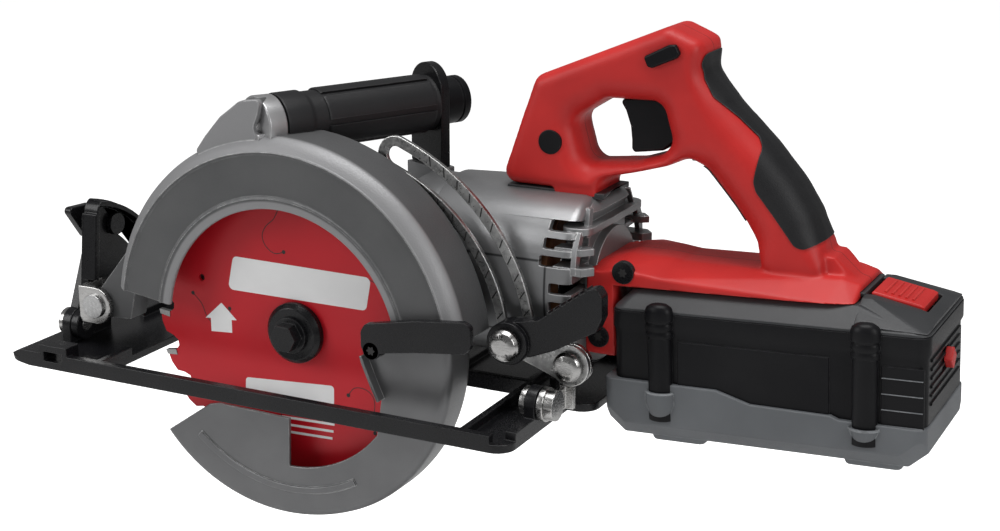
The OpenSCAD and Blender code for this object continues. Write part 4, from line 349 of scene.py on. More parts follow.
# %% Rings, lofts and blocks
def rounded(points, radius, steps=6):
    """The outline with its corners rounded, each as far as its edges allow."""
    out = []
    points = [Vector(p) for p in points]
    for i, here in enumerate(points):
        before, after = points[i - 1], points[(i + 1) % len(points)]
        u, v = (before - here).normalized(), (after - here).normalized()
        half = max(0.02, math.acos(max(-1, min(1, u.dot(v)))) / 2)
        if half > 1.53:
            out.append(here)
            continue
        reach = min(radius / math.tan(half), 0.45 * min((before - here).length, (after - here).length))
        fit = reach * math.tan(half)
        middle = here + (u + v).normalized() * fit / math.sin(half)
        p, q = here + u * reach - middle, here + v * reach - middle
        start = math.atan2(p.y, p.x)
        turn = math.atan2(p.x * q.y - p.y * q.x, p.dot(q))
        for k in range(steps + 1):
            a = start + turn * k / steps
            out.append(middle + fit * Vector((math.cos(a), math.sin(a))))
    return out


def loft(form, rings, place=at):
    """Joins rings of places into a closed body. A ring of one place is a pole."""
    loops = [[form.verts.new(place(*p)) for p in ring] for ring in rings]
    for low, high in zip(loops, loops[1:]):
        n = max(len(low), len(high))
        for k in range(n):
            m = (k + 1) % n
            corners = [low[k % len(low)], low[m % len(low)], high[m % len(high)], high[k % len(high)]]
            form.faces.new(list(dict.fromkeys(corners)))
    for end in (list(reversed(loops[0])), loops[-1]):
        if len(end) > 1:
            form.faces.new(end)


def add_prism(form, outline, low, high, place=at):
    """A prism of an outline in X and Z between two places in Y."""
    near, far = ([form.verts.new(place(p[0], y, p[1])) for p in outline] for y in (low, high))
    form.faces.new(near)
    form.faces.new(list(reversed(far)))
    for corners in zip(near[1:] + near[:1], near, far, far[1:] + far[:1]):
        form.faces.new(corners)


def prism(outline, low, high, place=at):
    return mesh_of("prism", lambda form: add_prism(form, outline, low, high, place))


def stack(form, levels, place):
    """Lofts rounded rectangles (height, x from, x to, half width, corner radius)."""
    loft(form, [[(*p, z) for p in rounded([(x0, -half), (x1, -half), (x1, half), (x0, half)], radius, 5)]
                for z, x0, x1, half, radius in levels], place)


def lathe(form, profile, place, steps=32):
    """Turns (radius, height) pairs about the local Z axis."""
    turns = [math.radians(360 * k / steps) for k in range(steps)]
    loft(form, [[(r * math.cos(t), r * math.sin(t), h) for t in (turns if r else turns[:1])]
                for r, h in profile], place)


def along_y(x, z, place=at):
    """Lays a lathe's axis along Y, through a place in X and Z."""
    return lambda a, b, c: place(x + a, c, z + b)


def turned(form, profile, start, end, steps=96, place=at):
    """Sweeps a closed profile of (radius, Y) about the Y axis between two angles."""
    turns = [math.radians(start + (end - start) * k / steps) for k in range(steps + 1)]
    loft(form, [[(r * math.cos(t), y, r * math.sin(t)) for r, y in profile] for t in turns], place)


def hull(form, corners, place=at):
    """The convex block of some corners."""
    made = bmesh.ops.convex_hull(form, input=[form.verts.new(place(*c)) for c in corners])
    spare = [g for g in made["geom_interior"] + made["geom_unused"] if isinstance(g, bmesh.types.BMVert)]
    bmesh.ops.delete(form, geom=list(set(spare)), context="VERTS")


def both_sides(*points, middle=MID_Y):
    return [(x, middle + s * y, z) for x, y, z in points for s in (-1, 1)]


# %% Working objects
def discard(scrap):
    old = scrap.data
    bpy.data.objects.remove(scrap)
    if old.users == 0:
        bpy.data.meshes.remove(old)


def baked(scrap):
    """The evaluated mesh of a working object, which is then removed."""
    graph = bpy.context.evaluated_depsgraph_get()
    mesh = bpy.data.meshes.new_from_object(scrap.evaluated_get(graph))
    discard(scrap)
    return mesh


def carve(mesh, tool, operation="DIFFERENCE"):
    """A boolean of two closed meshes, as a new mesh."""
    body, cutter = shown("scrap", mesh), shown("tool", tool)
    cut = body.modifiers.new("cut", "BOOLEAN")
    cut.operation, cut.object, cut.solver = operation, cutter, "EXACT"
    result = baked(body)
    discard(cutter)
    return result


def melted(mesh, voxel, smooth):
    """Closed meshes as one skin, by a voxel remesh that is then relaxed."""
    scrap = shown("scrap", mesh)
    melt = scrap.modifiers.new("melt", "REMESH")
    melt.mode, melt.voxel_size = "VOXEL", voxel / 1000
    relax = scrap.modifiers.new("relax", "SMOOTH")
    relax.factor, relax.iterations = 0.5, smooth
    return baked(scrap)


# %% [markdown]
# ## The rear handle
# The real handle is two moulded shells, screwed together on the middle plane, so its side view is an
# outline and its thickness swells away from that outline. It could be sculpted, or bevelled, but a bevel
# this wide folds over itself in the tight corners. Here the outline is filled with a fine net, and each
# point of the net is given a thickness from its distance to the outline, along a quarter circle. The base
# is a few convex blocks. A voxel remesh melts it all into one skin, as the mould does.

# %% Outlines, nets and distances
HANDLE_AT = (93.5, 54)
HANDLE_SIZE = (196, 117)
HANDLE_HALF = 19  # half thickness where the handle is full


def on_handle(shares):
    return [(HANDLE_AT[0] + s[0] * HANDLE_SIZE[0], HANDLE_AT[1] + s[1] * HANDLE_SIZE[1]) for s in shares]


HANDLE = rounded(on_handle([
    (0.005, 0.237), (0.076, 0.576), (0.111, 0.737), (0.485, 1), (0.581, 0.935), (0.582, 0.81), (0.653, 0.673),
    (0.754, 0.512), (0.834, 0.36), (0.88, 0.242), (0.912, 0.112), (0.935, -0.04), (0.759, -0.04),
    (0.734, 0.094), (0.666, 0.242), (0.59, 0.386), (0.546, 0.432), (0.485, 0.385), (0.404, 0.345),
    (0.308, 0.305), (0.298, 0.237)]), 7)
FINGER = rounded(on_handle([(0.216, 0.555), (0.31, 0.655), (0.465, 0.662), (0.496, 0.492), (0.468, 0.43),
                            (0.394, 0.388), (0.25, 0.36)]), 7)


def stepped(points, pitch):
    """The closed outline with points no further apart than the pitch."""
    out = []
    for i, a in enumerate(points):
        b = points[(i + 1) % len(points)]
        n = max(1, math.ceil((b - a).length / pitch))
        out += [a.lerp(b, k / n) for k in range(n)]
    return out


def sides(loop):
    a = np.array([p[:] for p in loop], float)
    return zip(a, np.roll(a, -1, 0))


def distance(points, loop):
    """Distance of each point to a closed outline."""
    best = np.full(len(points), 1e9)
    for p, q in sides(loop):
        run = q - p
        share = np.clip(((points - p) @ run) / max(run @ run, 1e-12), 0, 1)
        best = np.minimum(best, np.hypot(*(points - p - share[:, None] * run).T))
    return best


def inside(points, loops):
    """True for each point inside the first outline and outside the others."""
    odd = np.zeros(len(points), bool)
    for p, q in (side for loop in loops for side in sides(loop)):
        cross = (p[1] > points[:, 1]) != (q[1] > points[:, 1])
        with np.errstate(divide="ignore", invalid="ignore"):
            odd ^= cross & (points[:, 0] < (q[0] - p[0]) * (points[:, 1] - p[1]) / (q[1] - p[1]) + p[0])
    return odd


def net(loops, pitch):
    """A fine triangle net between an outline and its holes: points and faces."""
    loops = [stepped(loop, pitch) for loop in loops]
    points, edges = [], []
    for loop in loops:
        first = len(points)
        points += loop
        edges += [(first + k, first + (k + 1) % len(loop)) for k in range(len(loop))]
    rim = np.array([p[:] for p in points])
    low, high = rim.min(0), rim.max(0)
    xs, zs = np.meshgrid(np.arange(low[0], high[0], pitch), np.arange(low[1], high[1], pitch))
    grid = np.stack([xs.ravel(), zs.ravel()], 1)
    keep = inside(grid, loops)
    for loop in loops:
        keep &= distance(grid, loop) > 0.6 * pitch
    points += [Vector(p) for p in grid[keep]]
    made = delaunay_2d_cdt(points, edges, [], 0, 1e-5)
    flat = np.array([p[:] for p in made[0]])
    faces = np.array([f for f in made[2] if len(f) == 3])
    return flat, faces[inside(flat[faces].mean(1), loops)].tolist()


def swell(form, loops, pitch, thickness):
    """A closed form of a net whose half thickness at each point is given by a function."""
    flat, faces = net(loops, pitch)
    half = thickness(flat)
    left, right = [[form.verts.new(at(p[0], MID_Y + s * h, p[1])) for p, h in zip(flat, half)] for s in (-1, 1)]
    for f in faces:
        form.faces.new([left[k] for k in f])
        form.faces.new([right[k] for k in reversed(f)])
    used = Counter(tuple(sorted((f[k - 1], f[k]))) for f in faces for k in range(3))
    for a, b in [edge for edge, times in used.items() if times == 1]:
        form.faces.new([left[b], left[a], right[a], right[b]])
    for v in [v for v in form.verts if not v.link_faces]:
        form.verts.remove(v)


def smooth_step(a, b, value):
    t = np.clip((value - a) / (b - a), 0, 1)
    return t * t * (3 - 2 * t)


def handle_half(points):
    """Half thickness of the handle: full on the arm, rounder on the grip, scooped over the finger hole."""
    x, z = ((points - HANDLE_AT) / HANDLE_SIZE).T
    grip = smooth_step(0.5, 0.62, x) * smooth_step(0.98, 0.8, z) * smooth_step(-0.02, 0.2, z)

    def quarter(loop, radius):
        fall = np.clip(radius - distance(points, loop), 0, None)
        return HANDLE_HALF - radius + np.sqrt(np.clip(radius ** 2 - fall ** 2, 0, None))

    return np.minimum(quarter(HANDLE, 6.5 + 8.5 * grip), quarter(FINGER, 12))


# %% The grip on its base, with room for the battery and the trigger
BATTERY_TURN = Matrix.Translation(at(173, MID_Y, 27.5)) @ Matrix.Rotation(math.radians(-2.8), 4, "Y")


def in_battery(x, y, z):
    """A place in millimetres from the front middle of the battery's seam, in the shared frame."""
    return BATTERY_TURN @ local(x, y, z)


BASE_BLOCKS = {
    "tall front": [(153.5, 33, 37), (153.5, 33, 42), (153.5, 20, 46.5), (170.5, 14, 51.8), (170.5, 33, 47.5),
                   (196, 33, 37), (196, 33, 45), (198, 13, 51.4), (190, 14, 52)],
    "long slab": [(186, 33, 37), (186, 33, 45), (192, 13, 50.8), (206, 12, 50.8), (206, 32.8, 43), (281, 32.8, 44),
                  (294, 31, 43.5), (294, 33, 37), (284, 17, 53.4), (294, 16, 51)],
    "front leg": [(153.5, 33, 0), (153.5, 33, 45), (171, 33, 0), (172, 33, 45)],
    "grip root": [(246, 11, 52), (240, 7, 54), (286, 13, 52), (288, 8, 53), (250, 12, 62), (278, 12, 62)],
    "arm root": [(127, 17.2, 79.4), (127, 17.2, 86), (151, 17.2, 79.4), (151, 17.2, 86)]}
RAIL_CHANNEL = [(-45, -40), (-45, 11.4), (-15.4, 11.4), (-15.4, 11.9), (-19.4, 11.9), (-19.4, 15), (19.4, 15),
                (19.4, 11.9), (15.4, 11.9), (15.4, 11.4), (45, 11.4), (45, -40)]
TRIGGER_SLOT = on_handle([(0.3, 0.42), (0.404, 0.425), (0.53, 0.47), (0.53, 0.72), (0.3, 0.72)])


def handle_form(form):
    swell(form, [HANDLE, FINGER], 1.3, handle_half)
    for corners in BASE_BLOCKS.values():
        hull(form, both_sides(*corners))


handle_skin = melted(mesh_of("handle skin", handle_form), 1.05, 7)
handle_skin = carve(handle_skin, prism(RAIL_CHANNEL, -4, 170, lambda a, b, c: in_battery(b, a, c)))
handle_shell = carve(handle_skin.copy(), prism(TRIGGER_SLOT, MID_Y - 8.6, MID_Y + 8.6))
handle = seat("handle_shells", handle_shell, "red shells", "saw_body", "handle_left", "handle_right")
handle.data.shade_smooth()
print("handle:", len(handle_shell.polygons), "faces")


# %% Grip pads
def puffed(mesh, amount):
    """A copy of a skin, moved outwards by an amount in millimetres."""
    copy = mesh.copy()
    for v, n in zip(copy.vertices, [Vector(v.normal) for v in copy.vertices]):
        v.co += n * amount / 1000
    return copy


REAR_PAD = rounded(on_handle([
    (0.583, 0.895), (0.574, 0.845), (0.583, 0.785), (0.61, 0.712), (0.674, 0.628), (0.727, 0.55), (0.742, 0.51),
    (0.732, 0.37), (0.74, 0.33), (0.79, 0.23), (0.846, 0.112), (0.868, 0.1), (0.91, 0.13), (1, 0.16), (1, 0.9),
    (0.6, 0.905)]), 6)
strip = on_handle([(0.581, 0.398), (0.601, 0.367), (0.657, 0.26), (0.699, 0.175)])
FRONT_PAD = [(x - 4.6, z - 3.9) for x, z in strip] + [(x + 2.4, z + 2) for x, z in reversed(strip)]
for name, node, lift, outline, half in (("rear_grip_cover", "rear_grip_pad", 0.6, REAR_PAD, 30),
                                        ("front_grip_cover", "front_grip_pad", 0.7, FRONT_PAD, 11.5)):
    pad = carve(puffed(handle_skin, lift), prism(outline, MID_Y - half, MID_Y + half), "INTERSECT")
    seat(name, pad, "soft overmould", "saw_body", node)
    pad.shade_smooth()
    pad.set_sharp_from_angle(angle=math.radians(50))
    print(name + ":", len(pad.polygons), "faces")
bpy.data.meshes.remove(handle_skin)

# %% The speed controller inside the base
board = mesh_of("controller board", lambda form: hull(form, both_sides(
    (196, 9, 46.6), (196, 9, 47.4), (256, 9, 49.7), (256, 9, 50.4), (198, 8, 47.8), (254, 8, 50.6))))
seat("controller_board", board, "black moulding", "saw_body", "controller")
print("controller board:", len(board.polygons), "faces")

# %% The trigger and the lock-off button
TRIGGER = rounded([(159.6, 130.5), (172, 133), (186, 132), (191, 124), (191.5, 112), (184.5, 105.8),
                   (168.6, 103.4), (166.9, 105), (166.8, 110), (166, 117), (163.2, 125)], 2.4)
BUTTON = rounded([(177.6, 155.8), (191, 162.6), (194.6, 162.9), (197, 158.6), (195.6, 156.2), (182.6, 150.4),
                  (180, 150.8)], 1.6)
rounded_piece("trigger_lever", prism(TRIGGER, MID_Y - 8, MID_Y + 8), "black moulding", "trigger_set", "trigger",
              width=1.6, segments=4, angle=50)
rounded_piece("lock_off_key", prism(BUTTON, 49.4, 60), "black moulding", "lock_off", "lock_off_button",
              width=1.2, segments=4, angle=50)

# %% Screws that enter from the left, and the rounded bevel plate
FAR_SHELL_Y = 88
CORNER_AT, CORNER_R = (17.4, 47), 8
left_side = prism([(100, -40), (330, -40), (330, 120), (100, 120)], -60, FAR_SHELL_Y)
rounded_piece("base_screw_set", carve(welded("base_screws"), left_side, "INTERSECT"), "black enamel", "saw_body",
              "base_screws", width=0.3, angle=35)
corner = [(CORNER_AT[0] - CORNER_R * math.cos(math.radians(a)), CORNER_AT[1] + CORNER_R * math.sin(math.radians(a)))
          for a in range(0, 91, 6)] + [(CORNER_AT[0], 70), (-30, 70), (-30, CORNER_AT[1])]
plate = carve(welded("bevel_quadrant"), prism(corner, -170, -120, lambda a, b, c: at(b, a, c)))
rounded_piece("bevel_quadrant_plate", plate, "black enamel", body_of("bevel_quadrant"), "bevel_quadrant", width=0.6)

# %% [markdown]
# ## The battery
# A pack of cells in three mouldings: a grey rubber-edged boot below, a black case with four screw posts in
# the middle and a charcoal cover with a raised deck on top. It sits tilted by a few degrees on its rails,
# so everything here is drawn level and turned into place at the end. Most of it is stacks of rounded
# rectangles, because that is how a drafted mould is dimensioned: a size and a corner radius per height.

# %% The black case and its posts
POSTS = [(24, -40), (24, 40), (130, -40), (130, 40)]
CASE_HALF = 38.6
BOOT_HALF = 41.5
case_block = mesh_of("case block", lambda form: stack(form, [
    (-55, -3, 159.4, CASE_HALF, 6), (-11, -2.6, 159.4, CASE_HALF, 6), (-8.5, -3.5, 160.6, 39.6, 6.5),
    (0.2, -3, 160.6, 39.6, 6.5)], in_battery))
button_room = mesh_of("button room", lambda form: hull(form, [
    (x, y, z) for x in (327, 345) for y in (64.7, 77.3) for z in (9.1, 21.8)]))
case_block = carve(case_block, button_room)


def case_form(form):
    form.from_mesh(case_block)
    for x, y in POSTS:
        lathe(form, [(4.4, -56), (4.4, -12), (5, -11.2), (5, -9.2), (4.6, -8.6), (4.6, -7.6), (5, -7), (5, -5),
                     (4.6, -4.4), (4.6, -3.4), (5.2, -2.8), (5.2, 1.5), (4.6, 4), (3, 5.6), (0, 6.2)],
              lambda a, b, c: in_battery(x + 1.45 * a, y - math.copysign(0.2, y) + b, c))
    for s in (-1, 1):
        for x0, x1, top, half, radius in ((33, 112, -13.5, 0.9, 1.5), (137.5, 158.5, -15, 0.7, 0.8)):
            stack(form, [(-52, x0, x1, half, radius), (top, x0, x1, half, radius)],
                  lambda a, b, c: in_battery(a, s * CASE_HALF + b, c))


rounded_piece("battery_case_shell", case_form, "black moulding", "battery", "battery_case", width=0.35, angle=40)


# %% The grey boot
def boot_form(form):
    add_prism(form, [(-7.5, -60), (1, -67.5), (150, -67.5), (160, -59), (160, -45), (117, -44.5), (113, -42.8),
                     (72, -42), (54, -36.5), (-7.5, -36)], -BOOT_HALF, BOOT_HALF, in_battery)
    back = BATTERY_TURN.inverted()

    def bevel(offset, segments, chosen):
        """Bevels the edges along the battery's sides whose two ends a test accepts."""
        flat = {v: back @ v.co * 1000 for v in form.verts}
        picked = [e for e in form.edges for p, q in [[flat[v] for v in e.verts]]
                  if abs(p.y - q.y) < 0.1 and chosen(p, q)]
        bmesh.ops.bevel(form, geom=picked, offset=offset / 1000, offset_type="OFFSET", segments=segments,
                        profile=0.5, affect="EDGES")

    bevel(8.5, 1, lambda p, q: max(p.z, q.z) < -58)
    bevel(6, 4, lambda p, q: abs(p.x - q.x) < 0.1 and min(p.z, q.z) > -62
          and all(abs(abs(end.y) - BOOT_HALF) < 0.1 for end in (p, q)))
    for x, y in POSTS:
        rim, top = (-41, -40.4) if x < 60 else (-47.5, -47)
        lathe(form, [(0, -56), (3.6, -54), (5.6, -47), (5.6, rim), (5.2, top)],
              lambda a, b, c: in_battery(x + 1.4 * a, y + math.copysign(0.4, y) + b, c), 24)
    for x in (15, 117):
        stack(form, [(-70.5, x + 1, x + 29, 32, 3), (-66.5, x, x + 30, 33.5, 3)], in_battery)


rounded_piece("battery_boot_shell", boot_form, "boot grey", "battery", "battery_boot",
              width=0.9, segments=3, angle=25)


# %% The charcoal cover with its deck and rail, and the latch
def latch_pocket():
    return mesh_of("latch pocket", lambda form: stack(
        form, [(1, 122.6, 154, 15.6, 1), (30, 122.6, 154, 15.6, 1)], in_battery))


cover_block = mesh_of("cover block", lambda form: stack(form, [
    (0.2, -2.4, 160.3, 39.3, 6.5), (1.6, -2.2, 160.3, 39.3, 6.5), (11, 7, 126, 29, 5)], in_battery))
deck = mesh_of("deck", lambda form: hull(form, both_sides(
    (123.4, 31, 9), (123.4, 23, 13.4), (128, 23, 13.4), (128, 39, 3.6), (155, 38.8, 2.6), (151, 22, 8),
    (159.6, 37, 2), (160, 24, 4.6), (123.4, 38.3, 3.5), middle=0), in_battery))
cover_block, deck = carve(cover_block, latch_pocket()), carve(deck, latch_pocket())


def cover_form(form):
    form.from_mesh(cover_block)
    for low, high, half in ((9, 13, 15), (12.2, 14.6, 19)):
        stack(form, [(low, 12, 124, half, 1), (high, 12, 124, half, 1)], in_battery)
    form.from_mesh(deck)


def latch_form(form):
    hull(form, both_sides((126, 14.8, 5), (152, 14.8, 5), (126, 14.8, 13.8), (127, 14, 14.6), (150, 14, 9.6),
                          (152, 14.8, 8.4), middle=0), in_battery)


rounded_piece("battery_cover", cover_form, "charcoal cover", "battery", "battery_top", width=0.6, angle=25)
rounded_piece("battery_latch_key", latch_form, "red shell", "latch", "battery_latch",
              width=0.6, segments=3, angle=25)

# %% [markdown]
# ## The upper guard
# On the real saw this is a light-metal casting: a half drum over the blade, with a machined bevel round its
# rim, a fine bead inside that and a raised lip round the opening. A foundry would turn most of it on a
# lathe, so here one profile of radius and depth is swept about the arbor. The wing for the top handle and the
# lug for the depth pivot are plates that grow out of the drum.

# %% Drum, wing and lug
GUARD_R = 110


def of_guard(shares):
    return [(GUARD_R * x, GUARD_R * z) for x, z in shares]


GUARD_PROFILE = [
    (36.5, 15), (110, 15), (110, -11.5), (109.4, -13.3), (107.8, -15.8), (105.4, -18), (103.6, -19.1),
    (103.2, -19.9), (102.2, -19.9), (101.8, -19.2), (101.4, -18.7), (79.2, -18.7), (78.8, -19.5), (78.4, -19.9),
    (77.4, -19.9), (77, -19.4), (76.6, -19), (73.2, -19), (72, -18.2), (72, -16.2), (100.5, -16.2),
    (106.6, -10.5), (106.6, 12.2), (36.5, 12.2)]
WING = of_guard([(-0.5, 0.85), (-0.41, 0.97), (-0.32, 1.07), (-0.2, 1.16), (-0.08, 1.175), (-0.1, 1.1),
                 (-0.13, 1.03), (-0.1, 0.98), (-0.3, 0.93)])
LUG = of_guard([(-0.91, 0.42), (-0.86, 0.42), (-0.96, 0.16), (-1, 0), (-1.02, -0.08)])


def guard_form(form):
    turned(form, GUARD_PROFILE, 7, 172)
    add_prism(form, rounded(WING, 9), -15, -5)
    add_prism(form, [(PIVOT[0], 4.5), *LUG, (PIVOT[0], -10.5)], -2, 12)
    lathe(form, [(7.5, -2), (7.5, 12)], along_y(*PIVOT), 40)


rounded_piece("upper_guard_casting", guard_form, "cast guard", "saw_body", "upper_guard", width=0.5, angle=35)


# %% The saddle of the top handle, cut to the drum
def on_top(x, y, z):
    """A place in millimetres along the top handle: y runs along its axis from the guard."""
    c, s = math.cos(math.radians(26)), math.sin(math.radians(26))
    return at(-16 + c * x + s * y, -4 - s * x + c * y, 113 + z)


def drum(radius):
    """A disc about the arbor, as deep as the guard."""
    return mesh_of("drum", lambda form: lathe(form, [(radius, -19.5), (radius, 15.3)], along_y(0, 0), 180))


def collar_form(form):
    lathe(form, [(12, -4), (16, -4), (16.4, -3), (16.2, 6), (15.4, 7.2), (12, 7.2)], along_y(0, 0, on_top), 64)


def web_form(form):
    add_prism(form, rounded([(-3, -9), (9, -9), (11, -2.5), (-4, -2.5)], 1.5), -8, 6.5, on_top)


def saddle_form(form):
    for part in (collar_form, web_form):
        form.from_mesh(carve(mesh_of("saddle part", part), drum(107.6)))


rounded_piece("top_handle_saddle", saddle_form, "machined cast", "saw_body", width=0.5, angle=35)

# %% [markdown]
# ## The lower guard
# A pressed sheet that swings on the arbor sleeve. Its rim is drawn round a soft radius, its face is cut back
# round a large window, and a folded lip gives the thumb something to pull. The sheet is swept like the upper
# guard and grows a little towards its tip, and the window is cut out of its face with a boolean.

# %% Sweep the sheet and cut the window
LOWER_PROFILE = [
    (36.5, 10), (96.5, 10), (99.5, 9.2), (101.2, 7.2), (101.5, 5), (101.5, -10.5), (100.9, -12.8), (99.4, -14.4),
    (97, -15), (37, -15), (37, -13), (96.4, -13), (98.3, -12.1), (99.5, -10), (99.5, 4.8), (98.7, 7), (96.2, 8),
    (36.5, 8)]
WINDOW_R = 73
TIP_GROWTH = 0.036
window = of_guard([(-1.2, -0.93), (-0.46, -0.415), (-0.4, -0.4), (0.02, -0.41)])
window += [(WINDOW_R * math.cos(math.radians(a)), WINDOW_R * math.sin(math.radians(a))) for a in range(271, 323, 3)]
window += of_guard([(0.55, -0.22), (0.47, -0.04), (0.47, 0.5), (-1.2, 0.5)])
tip = of_guard([(-1.2, -0.93), (-0.46, -0.415), (-0.46, -0.1), (-1.2, -0.1)])
sheet = mesh_of("lower guard", lambda form: turned(form, LOWER_PROFILE, 215, 372, 110))
for v in sheet.vertices:
    spot = v.co - ARBOR
    turn = math.degrees(math.atan2(spot.z, spot.x)) % 360
    grow = 1 + TIP_GROWTH * float(smooth_step(290, 225, turn)) * (210 < turn) * (spot.length > 0.09)
    v.co = ARBOR + Vector((spot.x * grow, spot.y, spot.z * grow))
sheet = carve(carve(sheet, prism(window, -17, 0)), prism(tip, -18, 13))


def lower_form(form):
    form.from_mesh(sheet)
    turned(form, [(84, -14.5), (88, -14.5), (88, -15.8), (87.5, -16.1), (84.5, -16.1), (84, -15.8)], 228, 300, 48)
    turned(form, [(29, 8.2), (36.4, 8.2), (36.4, 9.9), (29, 9.9)], 0, 359.9, 72)
    add_prism(form, [(51, 0), (52.4, -4.4), (56, -13), (61, -24), (62.5, -23.4), (57.5, -12.4), (54, -4),
                     (52.6, 0.4)], -21, -13.4)


rounded_piece("lower_guard_sheet", lower_form, "guard sheet", "guard_set", "lower_guard", width=0.35, angle=35)

# %% [markdown]
# ## The motor housing
# A die casting that starts as a drum at the gear case and grows squarer towards the rear, where slats let
# the cooling air out. The section is a superellipse, swelling from round below, where the foot has to swing
# past, to square-shouldered above. The drum is hollow, slots are cut through its flanks, and flat fins run
# round the rear end.

# %% Loft the housing and cut the slots
def housing_ring(radius, square, steps=72):
    """A ring of (Y, Z) about the motor axis whose upper half has square shoulders."""
    points = []
    for k in range(steps):
        c, s = math.cos(math.tau * k / steps), math.sin(math.tau * k / steps)
        power = 2 + (square if s > 0 else 0) * min(1, abs(s) * 2)
        size = radius * (abs(c) ** power + abs(s) ** power) ** (-1 / power)
        points.append((size * c, size * s))
    return points


def housing(levels):
    """A loft between (X, radius, squareness) levels."""
    return mesh_of("housing", lambda form: loft(form, [
        [(x, MID_Y + y, MOTOR_Z + z) for y, z in housing_ring(radius, square)]
        for x, radius, square in levels]))


def slot_tool(form):
    for side in (-1, 1):
        for z, x, end in ((70.5, 136, 170), (61, 134.5, 170), (51.5, 133, 170), (37, 139, 155), (27, 139, 155)):
            deep = z + 0.25 * 0.38 * (MOTOR_Z - z) if z > 45 else z
            loop = [(x, -2.4), (x + 1.4, -2.8), (end, -2.8), (end, 2.8), (x + 1.4, 2.8), (x, 2.4)]
            hull(form, [(a, MID_Y + side * y, height + b) for y, height in ((24, deep), (60, z)) for a, b in loop])


def fin(form, low, high, half, start, end, inner=None):
    """A flat fin round the rear end, whole or as two side strips outside an inner half width."""
    lines = [rounded([(start, -half), (end, -half), (end, half), (start, half)], 16)]
    if inner:
        strip = [(start, inner), (end - 4, inner), (end, half - 6), (end - 5, half), (start, half)]
        lines = [[(x, side * y) for x, y in strip] for side in (-1, 1)]
    for line in lines:
        add_prism(form, line, low, high, lambda a, b, c: at(a, MID_Y + c, b))


hood = housing([(62, 47, 0), (63.5, 48.2, 0), (82, 48.5, 0.2), (104, 48.5, 0.7), (146, 48.4, 0.9), (149, 47.6, 0.9),
                (151, 45.6, 0.9)])
hood = carve(hood, housing([(66, 45.2, 0), (104, 45.2, 0.6), (146, 45, 0.9)]))
hood = carve(hood, mesh_of("slots", slot_tool))
UPRIGHTS = (
    [(151.6, 30.6, 61.8), (154.8, 30.6, 61.8), (151.6, 33, 61.8), (154, 33, 61.8), (150, 24, 76), (153.4, 24, 76),
     (150, 27, 76), (152.6, 27, 76)],
    [(x, y, z) for y, z in ((45.6, 45), (42, 45), (44.2, 57), (40, 57), (38.8, 66), (35, 66)) for x in (150, 153)])


def housing_form(form):
    form.from_mesh(hood)
    lathe(form, [(28, 150.5), (28, 156)], lambda a, b, c: at(c, MID_Y + a, MOTOR_Z + b), 48)
    lathe(form, [(9, 19.9), (9, 40)], along_y(*STUD))
    stack(form, [(73.2, 120, 155, 30, 13), (75.5, 120, 154.4, 28, 13), (78, 120, 152, 24, 11),
                 (80, 120, 148, 18, 8)], lambda a, b, c: at(a, MID_Y + b, c))
    fin(form, 63.8, 67.6, 38.6, 140, 157)
    fin(form, 54.4, 58.2, 43.4, 140, 160, 34.4)
    fin(form, 44.2, 48.6, 45.4, 140, 161, 34.4)
    for side in (-1, 1):
        for corners in UPRIGHTS:
            hull(form, [(x, MID_Y + side * y, z) for x, y, z in corners])


rounded_piece("motor_housing_casting", housing_form, "motor silver", "saw_body", "motor_housing",
              width=0.4, angle=40)

# %% [markdown]
# ## The depth lever
# A cast paddle on the clamp stud. It widens towards its end, where the thumb lifts it, and the upper edge
# there is ribbed. Paint is rubbed off the ribs first.

# %% Boss, arm and ribbed edge
LEVER_ARM = rounded([(124, 21), (140, 24), (168.5, 44.5), (172.5, 45.5), (175.6, 41), (175.8, 30), (172.6, 22.5),
                     (150, 9.5), (133, 2.4), (129, 18)], 3)


def lever_form(form):
    lathe(form, [(4.3, 4.4), (11.5, 4.4), (11.5, 16), (4.3, 16)], along_y(*STUD), 48)
    add_prism(form, LEVER_ARM, 7.4, 16)
    for k in range(7):
        x, z = 146 + 3.5 * k, 28.6 + 2.51 * k
        rib = ((-0.9, -1.4), (0.9, -0.1), (0.2, 1.2), (-0.7, 0.5))
        hull(form, [(x + a, y, z + b) for a, b in rib for y in (7, 15.4)])


rounded_piece("depth_lever_paddle", lever_form, "black enamel", "depth_clamp", "depth_lever", width=0.6, angle=35)

# %% [markdown]
# ## The top handle
# A steel rod carries a rubber sleeve between the guard and a bent strap. The sleeve is a turned body with
# six raised panels. One panel is drawn, and the repeating is left to a node tree in the next steps.

# %% Sleeve body and end cap
def sleeve_form(form):
    lathe(form, [(7, 7.8), (16.1, 7.8), (16.5, 8.6), (16.5, 22), (15.6, 23.6), (15.3, 26), (15.3, 103.4),
                 (15.8, 104.4), (15.8, 105.5), (7, 105.5)], along_y(0, 0, on_top), 64)


def cap_form(form):
    lathe(form, [(0, 111.7), (13.1, 111.7), (13.5, 112.2), (13.5, 122), (12.8, 122.5), (12.8, 123.3), (13.5, 123.8),
                 (13.5, 127), (12.9, 128.1), (11.8, 128.6), (9.5, 128.6), (9, 127.8), (0, 127.6)],
          along_y(0, 0, on_top), 56)


sleeve = carve(mesh_of("sleeve", sleeve_form), drum(110.3))
rounded_piece("top_grip_sleeve", sleeve, "soft overmould", "saw_body", "top_grip", angle=40)
rounded_piece("top_handle_cap", cap_form, "black moulding", "saw_body", "top_cap", angle=40)

# %% [markdown]
# ## Repeated details with Geometry Nodes
# Panels, ticks, ribs and slots repeat at a fixed pitch. A node tree spreads one drawn shape, so the count and
# the pitch stay numbers that can be read and changed. The tree places each copy by its index: along a step,
# then turned about a centre. The copies are made real, given their finish and turned into a plain mesh.

